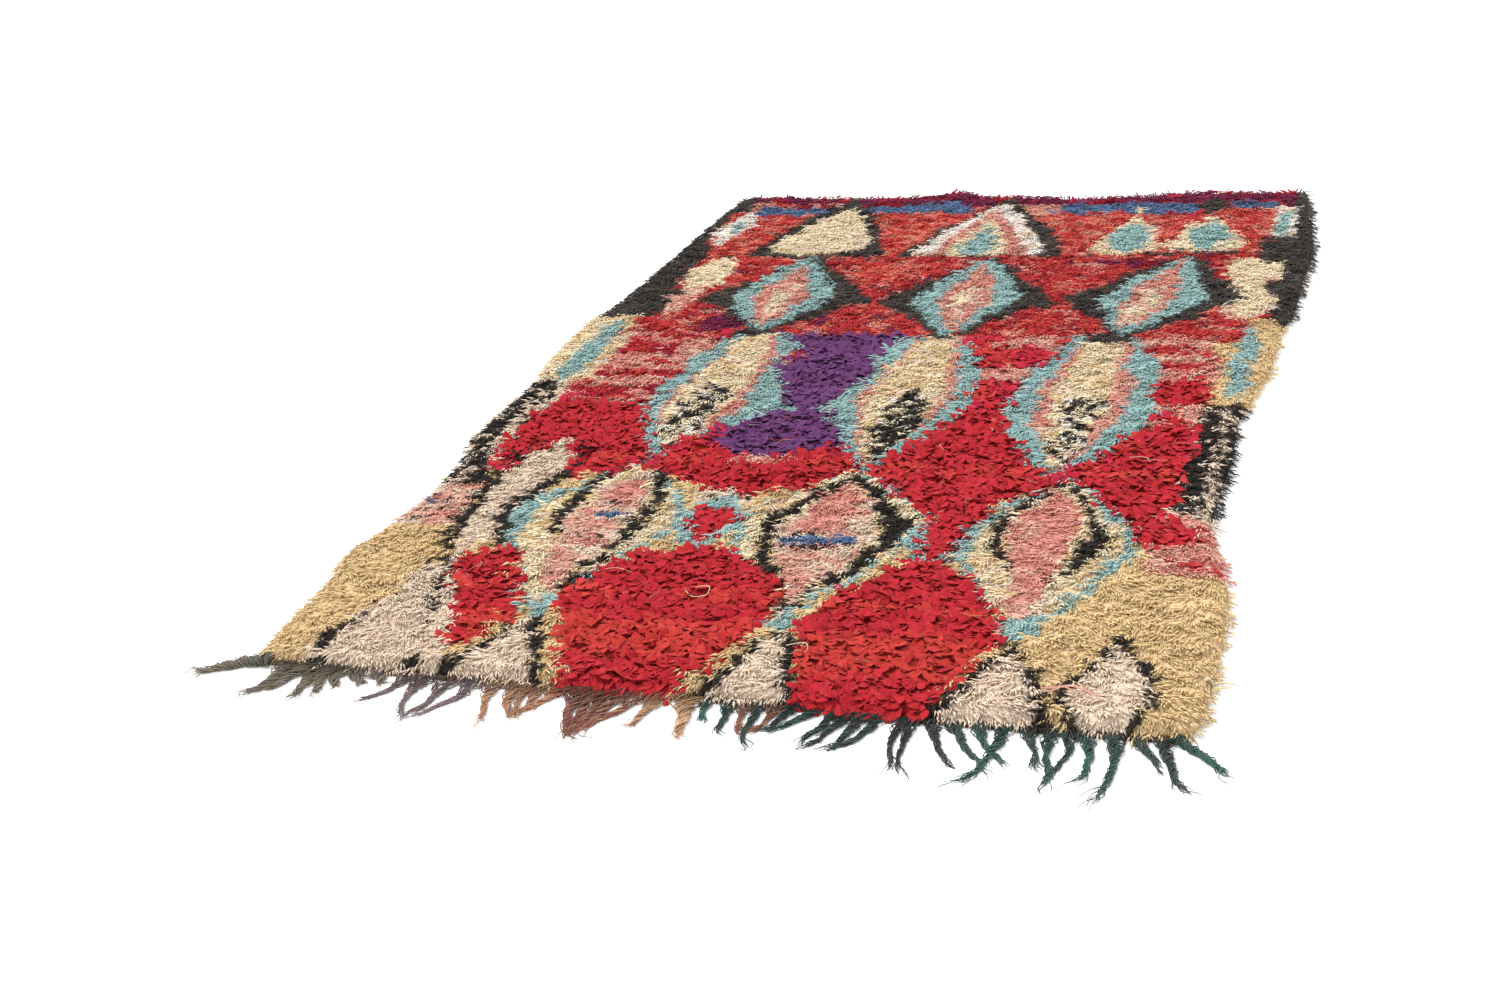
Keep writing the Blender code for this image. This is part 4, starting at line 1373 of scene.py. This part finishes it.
class RUG_OT_weave(bpy.types.Operator):
    """Lay the ground weave as one thin lumpy sheet"""

    bl_idname = "rug.weave"
    bl_label = "Ground weave"

    def execute(self, context):
        weave = context.scene.rug_weave
        columns = int(WEAVE_WIDE / weave.step)
        rows = int(WEAVE_LONG / weave.step)
        x, y = self.places(columns, rows)
        top = grid_places(x, y, packed_height(x, y, weave))
        rim = grid_rim(columns, rows)
        low = {spot: len(top) + i for i, spot in enumerate(rim)}
        faces = grid_quads(columns, rows)
        faces += [(spot, low[spot], low[after], after) for spot, after in next_round(rim)]
        faces += self.underside(columns, rows, low)
        foot = top[rim] * (1, 1, 0)
        piece = mesh_piece("ground_weave", np.vstack([top, foot]).tolist(), faces)
        shade_smooth(piece.data)
        tints = self.tints(x.ravel(), y.ravel(), context.scene.rug_colours)
        tints = np.vstack([tints, tints[rim]])
        layer = piece.data.color_attributes.new("knot_colour", "FLOAT_COLOR", "POINT")
        packed = np.hstack([tints, np.ones((len(tints), 1))]).astype(np.float32)
        layer.data.foreach_set("color", packed.ravel())
        piece.data.materials.append(self.finish())
        ride_and_slot(piece)
        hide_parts("shag_field")
        return {"FINISHED"}

    def places(self, columns, rows):
        """Where the weave's places are, between the rug's uneven edges."""
        s, t = np.meshgrid(np.linspace(0, 1, columns + 1), np.linspace(0, 1, rows + 1))
        y = SIDES[0].y + (SIDES[-1].y - SIDES[0].y) * t
        into_corner = 1 - np.clip(np.minimum(t, 1 - t) * CORNER_SHARPNESS, 0, 1)
        pinch = CORNER_TRIM * 0.4 * into_corner**2
        left, right = left_edge(y) + WEAVE_INSET + pinch, right_edge(y) - WEAVE_INSET - pinch
        x = left + (right - left) * s
        near, far = near_edge(x) + WEAVE_INSET, far_edge(x) - WEAVE_INSET
        return x, near + (far - near) * t

    def underside(self, columns, rows, low):
        """A flat foot: strips across, with one face at each end for the rows that its curve crosses."""
        wide = columns + 1
        lefts = [low[row * wide] for row in range(rows + 1)]
        rights = [low[row * wide + columns] for row in range(rows + 1)]
        near_row = [low[column] for column in range(1, columns)]
        far_row = [low[rows * wide + column] for column in range(1, columns)]
        last = rows - CURVED_ROWS
        faces = [tuple(near_row[::-1] + lefts[: CURVED_ROWS + 1] + rights[CURVED_ROWS::-1])]
        for row in range(CURVED_ROWS, last):
            faces.append((rights[row], lefts[row], lefts[row + 1], rights[row + 1]))
        faces.append(tuple(rights[: last - 1 : -1] + lefts[last:] + far_row))
        return faces

    def tints(self, x, y, colours):
        """The dye of each place, as the chart has it."""
        names = colour_of(charted(x, y), x, y, np.random.default_rng(WEAVE_SEED))
        palette = {name: tuple(getattr(colours, name)) for name in set(names)}
        return np.array([palette[name] for name in names])

    def finish(self):
        """Packed knots in the colours of the chart, with painted shade in the hollows between them."""
        material = new_material("packed_knots", 0.95, 0.02)
        tree = material.node_tree
        tint = add_node(tree, "ShaderNodeAttribute", attribute_name="knot_colour").outputs["Color"]
        place = add_node(tree, "ShaderNodeTexCoord").outputs["Object"]
        lumps = noise_on(tree, place, scale=160.0, detail=4.0)
        # Painted shade: the low places of the noise darken the chart's colours down to 0.55
        depth = map_range(tree, lumps, given=(0.35, 0.70), wanted=(0.55, 1.0))
        return dress(material, darkened(tree, tint, depth), lumps, strength=0.8, distance=0.003)


class RUG_OT_pile(bpy.types.Operator):
    """Knot the wool and the rags into the weave, one piece for each colour"""

    bl_idname = "rug.pile"
    bl_label = "Pile"

    def execute(self, context):
        pile = context.scene.rug_pile
        rng = np.random.default_rng(pile.seed)
        tree, sockets = knotting_tree()
        kinds = (self.wool(pile), self.rag(pile))
        templates = {kind.name: new_templates(f"{kind.name}_knot", kind.shape) for kind in kinds}
        for kind in kinds:
            x, y = knot_places(kind.pitch_x, kind.pitch_y, rng)
            knots = make_knots(x, y, context.scene.rug_weave, rng, kind.wild, kind.roll)
            aim = knots.turn[:, 2]
            fills = charted(x + kind.reach * np.cos(aim), y + kind.reach * np.sin(aim))
            of_kind = np.array([FILLS[name][0] == kind.name for name in FILL_NAMES])[fills]
            knots, fills = pick_knots(knots, of_kind), fills[of_kind]
            names = colour_of(fills, knots.x, knots.y, rng)
            for colour in sorted(set(names)):
                here = pick_knots(knots, names == colour)
                tint = tuple(getattr(context.scene.rug_colours, colour))
                material = self.finish(colour, kind.name, tint)
                piece = plant_knots(
                    f"{colour}_{kind.name}_pile",
                    here,
                    templates[kind.name],
                    tree,
                    sockets,
                    material,
                    smooth=kind.name == "wool",
                )
                ride_and_slot(piece)
                PILE_PIECES.append(piece.name)
                print(piece.name, len(here.x), "knots", len(piece.data.polygons), "triangles")
        for collection in templates.values():
            remove_templates(collection)
        bpy.data.node_groups.remove(tree)
        return {"FINISHED"}

    def wool(self, pile):
        shape = KnotShape(
            ends=6,
            length=pile.wool_length,
            width=pile.wool_width,
            thick=pile.wool_width * 0.7,
            lift=0.0055,
            spread=0.46,
            foot=0.011,
            stations=(0.45,),
            ragged=0.3,
        )
        pitch, reach = pile.wool_pitch, 0.40 * pile.wool_length
        return KnotKind("wool", shape, pitch, pitch * 0.94, wild=0.34, roll=0.15, reach=reach)

    def rag(self, pile):
        shape = KnotShape(
            ends=3,
            length=pile.rag_length,
            width=pile.rag_width,
            thick=pile.rag_width * 0.09,
            lift=0.0042,
            spread=1.05,
            foot=0.014,
            stations=(0.30, 0.90),
            ragged=0.50,
        )
        pitch, reach = pile.rag_pitch, 0.30 * pile.rag_length
        return KnotKind("rag", shape, pitch * 1.1, pitch * 0.92, wild=0.70, roll=0.16, reach=reach)

    def finish(self, colour, kind, tint):
        """Pale yarns are fuzzy, dark ones hardly, and rags are crumpled."""
        fuzz = 0.12 if min(tint) > 0.15 else 0.02
        crumple = RAG_CRUMPLE if kind == "rag" else 0.0
        # The roots of the ends get painted shade, down to 0.80 of their colour
        return yarn_material(f"{colour}_{kind}", tones_of(tint), 0.80, fuzz, crumple)


class RUG_OT_band(bpy.types.Operator):
    """Weave the flat band in front of the pile"""

    bl_idname = "rug.band"
    bl_label = "Woven band"

    def execute(self, context):
        steps, across = BAND_STEPS, BAND_ROWS
        s, t = np.meshgrid(np.linspace(0, 1, steps + 1), np.linspace(0, 1, across + 1))
        x = BAND_WEST + (BAND_EAST - BAND_WEST) * s
        back = near_edge(x) + WEAVE_INSET - BAND_GAP
        front = near_edge(x) + WEAVE_INSET - BAND_DEEP
        y = back + (front - back) * t
        shift = 0.5 * math.pi * (np.floor(s * steps / 2) % 2)
        ribs = np.abs(np.sin(t * math.pi * BAND_RIBS + shift))
        edge = np.clip(np.minimum(t, 1 - t) * BAND_SHARPNESS, 0, 1) ** 0.5
        top = grid_places(x, y, BAND_RIM + (BAND_BODY + BAND_RIB * ribs) * edge)
        rim = grid_rim(steps, across)
        low = {spot: len(top) + i for i, spot in enumerate(rim)}
        faces = [(a, d, c, b) for a, b, c, d in grid_quads(steps, across)]
        faces += [(spot, after, low[after], low[spot]) for spot, after in next_round(rim)]
        faces.append(tuple(low[spot] for spot in rim))
        foot = top[rim] * (1, 1, 0)
        piece = mesh_piece("woven_band", np.vstack([top, foot]).tolist(), faces)
        shade_smooth(piece.data)
        piece.data.materials.append(self.finish())
        ride_and_slot(piece)
        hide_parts("fringed_end")
        return {"FINISHED"}

    def finish(self):
        """Weft-faced stripes of brown, rust and orange that run along the band."""
        material = new_material("band_weave", 0.92, 0.2)
        tree = material.node_tree
        place = add_node(tree, "ShaderNodeTexCoord").outputs["Object"]
        threads = noise_on(tree, stretched(tree, place, BAND_GRAIN), scale=1.0, detail=4.0)
        colour = ramp_of(tree, threads, BAND_STRIPES)
        return dress(material, colour, threads, strength=0.6, distance=0.001)


def yarn_tree():
    """Round yarn along every line of a mesh, as thick as its points say, toned by them, and painted
    lighter the higher it lies.
    """
    given = {"Lines": "Geometry", "Sides": "Int", "Finish": "Material"}
    tree, sockets, start, end = new_tree("Yarn", given, "Yarn")
    curve = add_node(tree, "GeometryNodeMeshToCurve", {"Mesh": start["Lines"]}).outputs["Curve"]
    thick = attribute_of(tree, "thick")
    swelled = add_node(tree, "GeometryNodeSetCurveRadius", {"Curve": curve, "Radius": thick})
    ring = add_node(
        tree, "GeometryNodeCurvePrimitiveCircle", {"Radius": 1.0, "Resolution": start["Sides"]}
    )
    feeds = {"Curve": swelled.outputs["Curve"], "Profile Curve": ring.outputs["Curve"]}
    tube = add_node(tree, "GeometryNodeCurveToMesh", {**feeds, "Fill Caps": True})
    if "Scale" in tube.inputs:
        feed(tree, tube, {"Scale": thick})
    # Painted light: the higher a yarn lies, the lighter its tone; lower yarns get painted shade
    where = add_node(tree, "GeometryNodeInputPosition").outputs["Position"]
    split = add_node(tree, "ShaderNodeSeparateXYZ", {"Vector": where})
    feeds = {0: split.outputs["Z"], 1: HEIGHT_LIGHT_PER_METRE}
    lift = add_node(tree, "ShaderNodeMath", feeds, operation="MULTIPLY")
    u = sum_of(tree, attribute_of(tree, "tone"), lift.outputs["Value"])
    real = realized(tree, mapped(tree, tube.outputs["Mesh"], u, attribute_of(tree, "along")))
    finished(tree, real, start["Finish"], end, "Yarn")
    return tree, sockets


def spin_yarns(name, yarns, material, tree, sockets):
    """One piece from many yarns, each (points in the part's frame, radii, tone)."""
    places, edges, thick, tones, along = [], [], [], [], []
    for points, radii, tone in yarns:
        start = len(places)
        count = len(points)
        places += points
        edges += [(start + i, start + i + 1) for i in range(count - 1)]
        thick += list(radii)
        tones += [tone] * count
        along += [0.05 + 0.9 * i / (count - 1) for i in range(count)]
    mesh = bpy.data.meshes.new(name + "_lines")
    mesh.from_pydata(places, edges, [])
    floats = {"thick": thick, "tone": tones, "along": along}
    for label, values in floats.items():
        set_attribute(mesh, label, "FLOAT", "value", values)
    carrier = add_carrier(mesh, "Yarn", tree, sockets, {"Sides": YARN_SIDES, "Finish": material})
    piece = plain_mesh(carrier, name, material, floats)
    ride_and_slot(piece)
    print(piece.name, len(yarns), "yarns", len(piece.data.polygons), "faces")


def on_route(route, share):
    start, middle, end = route
    return start.lerp(middle, share).lerp(middle.lerp(end, share), share)


def fringe_route(lock):
    start = Vector((lock.root, float(near_edge(lock.root)) + WEAVE_INSET - BAND_DEEP))
    middle = start + Vector((lock.bow, -0.5 * lock.reach))
    return start, middle, start + Vector((lock.tip, -lock.reach))


def corner_route(x, lock):
    start = Vector((x, float(near_edge(x)) + WEAVE_INSET - BAND_DEEP / 2))
    middle = start + Vector((0.5 * lock.out, -lock.bow))
    return start, middle, start + Vector((lock.out, -lock.drop))


def lock_yarns(lock, route, splay, fringe, rng):
    """The yarns of one lock: gathered from the band, loosely twisted, wavy and open at the tip."""
    length = (route[1] - route[0]).length + (route[2] - route[1]).length
    count = FEWEST_YARNS + int(lock.wide / YARN_SPACING)
    steps = max(9, int(length / YARN_STEP))
    turns = fringe.turns * length / TURNS_LENGTH
    start_turn = rng.uniform(0, 2 * math.pi)
    sway_rate, sway_phase = rng.uniform(5, 9), rng.uniform(0, 6)
    yarns = []
    for i in range(count):
        phase = start_turn + 2 * math.pi * i / count + rng.uniform(-0.4, 0.4)
        own_turns = turns * rng.uniform(0.7, 1.25)
        flare = rng.normal(0, YARN_FLARE)
        stop = rng.uniform(0.72, 1.0) if rng.random() < 0.85 else rng.uniform(1.0, 1.14)
        spread = rng.uniform(0.30, 1.0)
        root_aside = rng.uniform(-splay[0], splay[1])
        waves = [
            (rng.uniform(*kink.spans), rng.uniform(0, 6), rng.uniform(*kink.depths)) for kink in KINKS
        ]
        points, radii = [], []
        for k in range(steps + 1):
            share = -0.02 + (stop + 0.02) * k / steps
            centre = on_route(route, share)
            ahead = (on_route(route, share + 0.01) - on_route(route, share - 0.01)).normalized()
            across = Vector((-ahead.y, ahead.x))
            radius = fringe.yarn / 2 * (1 - 0.55 * max(0.0, (share - stop + 0.25) / 0.25))
            reach = lock.wide * 0.62 * spread * (1 - 0.50 * min(1.0, max(share, 0.0) * 1.3))
            angle = phase + own_turns * 2 * math.pi * share
            aside = reach * math.cos(angle) + flare * max(0.0, (share - 0.55) / 0.45) ** 1.5
            aside += LOCK_SWAY * math.sin(sway_rate * share + sway_phase) * max(0.0, share)
            for span, wave_phase, depth in waves:
                aside += depth * math.sin(2 * math.pi * length * share / span + wave_phase)
            gather = root_aside * max(0.0, 1 - max(share, 0.0) / 0.50) ** 1.3
            low = radius + YARN_CLEARANCE
            height = low + (LOCK_HEIGHT + 0.55 * reach) * (1 + math.sin(angle)) * 0.5 * (1 - 0.55 * share)
            height += ROOT_RISE * max(0.0, 1 - abs(share) * 8)
            place = centre + across * aside + Vector((gather, 0.0))
            points.append((*in_part(place.x, place.y), max(low, height)))
            radii.append(max(radius, THINNEST_YARN))
        tone = min(0.92, max(0.02, lock.shade * 0.78 + rng.uniform(-0.20, 0.22)))
        yarns.append((points, radii, tone))
    return yarns


def splay_of(i):
    """How far to its left and right a fringe lock gathers its yarns along the band."""
    root = FRINGE[i].root
    before = FRINGE[i - 1].root if i > 0 else root - OUTER_SPLAY
    after = FRINGE[i + 1].root if i + 1 < len(FRINGE) else root + OUTER_SPLAY
    widest = SPLAY[FRINGE[i].wool]
    return min(widest, 0.85 * (root - before)), min(widest, 0.85 * (after - root))


class RUG_OT_fringe(bpy.types.Operator):
    """Twist the warp ends into locks that lie on the floor"""

    bl_idname = "rug.fringe"
    bl_label = "Fringe"

    def execute(self, context):
        fringe = context.scene.rug_fringe
        rng = np.random.default_rng(fringe.seed)
        tree, sockets = yarn_tree()
        wools = {"grey": [], "rust": [], "green": []}
        for i, lock in enumerate(FRINGE):
            wools[lock.wool] += lock_yarns(lock, fringe_route(lock), splay_of(i), fringe, rng)
        for x, lock in CORNER_LOCKS:
            wools[lock.wool] += lock_yarns(lock, corner_route(x, lock), (0.0, 0.0), fringe, rng)
        for wool, yarns in wools.items():
            low = tuple(getattr(fringe, wool + "_low"))
            high = tuple(getattr(fringe, wool + "_high"))
            tones = (scaled(low, 0.6), low, mixed(low, high, 0.5), high, scaled(high, 1.5))
            # Painted shade: the yarns darken to 0.55 of their colour towards their roots at the band
            material = yarn_material(f"{wool}_fringe", tones, 0.55)
            spin_yarns(f"{wool}_fringe", yarns, material, tree, sockets)
        bpy.data.node_groups.remove(tree)
        return {"FINISHED"}


def strand_yarn(strand, weave, rng):
    """One loose strand on the pile, or one that comes out from under it, as a wavy yarn."""
    start, end = Vector((strand.x0, strand.y0)), Vector((strand.x1, strand.y1))
    across = Vector((start.y - end.y, end.x - start.x)) * strand.bow
    steps = max(6, int((end - start).length / STRAND_STEP))
    span, phase, sway = rng.uniform(0.9, 2.2), rng.uniform(0, 6), rng.uniform(*STRAND_SWAYS)
    aside = across.normalized() if across.length > 0 else Vector((0.0, 1.0))
    points, radii = [], []
    for k in range(steps + 1):
        share = k / steps
        place = start.lerp(end, share) + across * (4 * share * (1 - share))
        place += aside * sway * math.sin(2 * math.pi * span * share + phase)
        x, y = np.array([place.x]), np.array([place.y])
        height = EDGE_HEIGHT - EDGE_FALL * share
        if float(min(edge[0] for edge in rim_distances(x, y))) > WEAVE_INSET:
            height = float(packed_height(x, y, weave)[0]) + STRAND_LIFT
        height += STRAND_ARCH * math.sin(math.pi * share)
        points.append((*in_part(place.x, place.y), height))
        radii.append(strand.thick / 2 * (1 - 0.6 * max(0.0, share - 0.7) / 0.3))
    return points, radii, strand.shade


class RUG_OT_strands(bpy.types.Operator):
    """Lay the loose strands and stray threads on the pile"""

    bl_idname = "rug.strands"
    bl_label = "Loose strands"

    def execute(self, context):
        strands = context.scene.rug_strands
        rng = np.random.default_rng(strands.seed)
        tree, sockets = yarn_tree()
        found = [*STRANDS, *self.stray_threads(strands.stray, rng)]
        yarns = [strand_yarn(strand, context.scene.rug_weave, rng) for strand in found]
        tones = []
        for shade in ("dark", "red", "salmon", "pale"):
            tint = tuple(getattr(strands, shade))
            tones += [tint, scaled(tint, 0.9)]
        # Painted shade: each strand darkens to 0.85 of its colour towards its start
        material = yarn_material("loose_strands", tones, 0.85, 0.1)
        spin_yarns("loose_strands", yarns, material, tree, sockets)
        bpy.data.node_groups.remove(tree)
        return {"FINISHED"}

    def stray_threads(self, count, rng):
        """Thin threads that the rags have shed: most on the rags, a few on the wool."""
        x = rng.uniform(-0.68, 0.66, count * 3)
        y = rng.uniform(-1.18, 1.05, count * 3)
        ragged = np.array([FILLS[name][0] == "rag" for name in FILL_NAMES])[charted(x, y)]
        keep = ragged | (rng.random(len(x)) < 0.25)
        threads = []
        for at_x, at_y in list(zip(x[keep], y[keep]))[:count]:
            aim, length = rng.uniform(0, 2 * math.pi), rng.uniform(*THREAD_LENGTHS)
            ahead = (at_x + length * math.cos(aim), at_y + length * math.sin(aim))
            shade = rng.choice(STRAY_SHADES)
            bow = rng.uniform(-0.35, 0.35)
            threads.append(Strand(at_x, at_y, *ahead, bow, THREAD_THICK, shade))
        return threads


class RUG_OT_cloth(bpy.types.Operator):
    """A step that changes nothing"""

    bl_idname = "rug.cloth"
    bl_label = "Cloth facts"

    def execute(self, context):
        return {"FINISHED"}


class RUG_PT_panel(bpy.types.Panel):
    """Steps that build the rug"""

    bl_label = "Boucherouite Rug"
    bl_idname = "RUG_PT_panel"
    bl_space_type = "VIEW_3D"
    bl_region_type = "UI"
    bl_category = "Rug"

    def draw(self, context):
        layout = self.layout
        for operator in OPERATORS:
            layout.operator(operator.bl_idname)
        for settings in GROUPS:
            group = getattr(context.scene, settings)
            box = layout.box()
            for name in group.bl_rna.properties.keys():
                if name not in ("rna_type", "name"):
                    box.prop(group, name)


GROUPS = {
    "rug_colours": YarnColours,
    "rug_pile": PileSettings,
    "rug_weave": WeaveSettings,
    "rug_fringe": FringeSettings,
    "rug_strands": StrandSettings,
    "rug_stage": StageSettings,
}
OPERATORS = (
    RUG_OT_stage,
    RUG_OT_weave,
    RUG_OT_pile,
    RUG_OT_band,
    RUG_OT_fringe,
    RUG_OT_strands,
    RUG_OT_cloth,
)


def register():
    for group in (*GROUPS.values(), *OPERATORS, RUG_PT_panel):
        bpy.utils.register_class(group)
    for name, group in GROUPS.items():
        setattr(bpy.types.Scene, name, PointerProperty(type=group))


def unregister():
    for name in GROUPS:
        delattr(bpy.types.Scene, name)
    for group in (RUG_PT_panel, *reversed(OPERATORS), *reversed(GROUPS.values())):
        bpy.utils.unregister_class(group)


def main():
    register()
    bpy.ops.rug.stage()
    bpy.ops.rug.weave()
    bpy.ops.rug.pile()
    bpy.ops.rug.band()
    bpy.ops.rug.fringe()
    bpy.ops.rug.strands()
    bpy.ops.rug.cloth()
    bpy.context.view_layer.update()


if __name__ == "__main__":
    main()
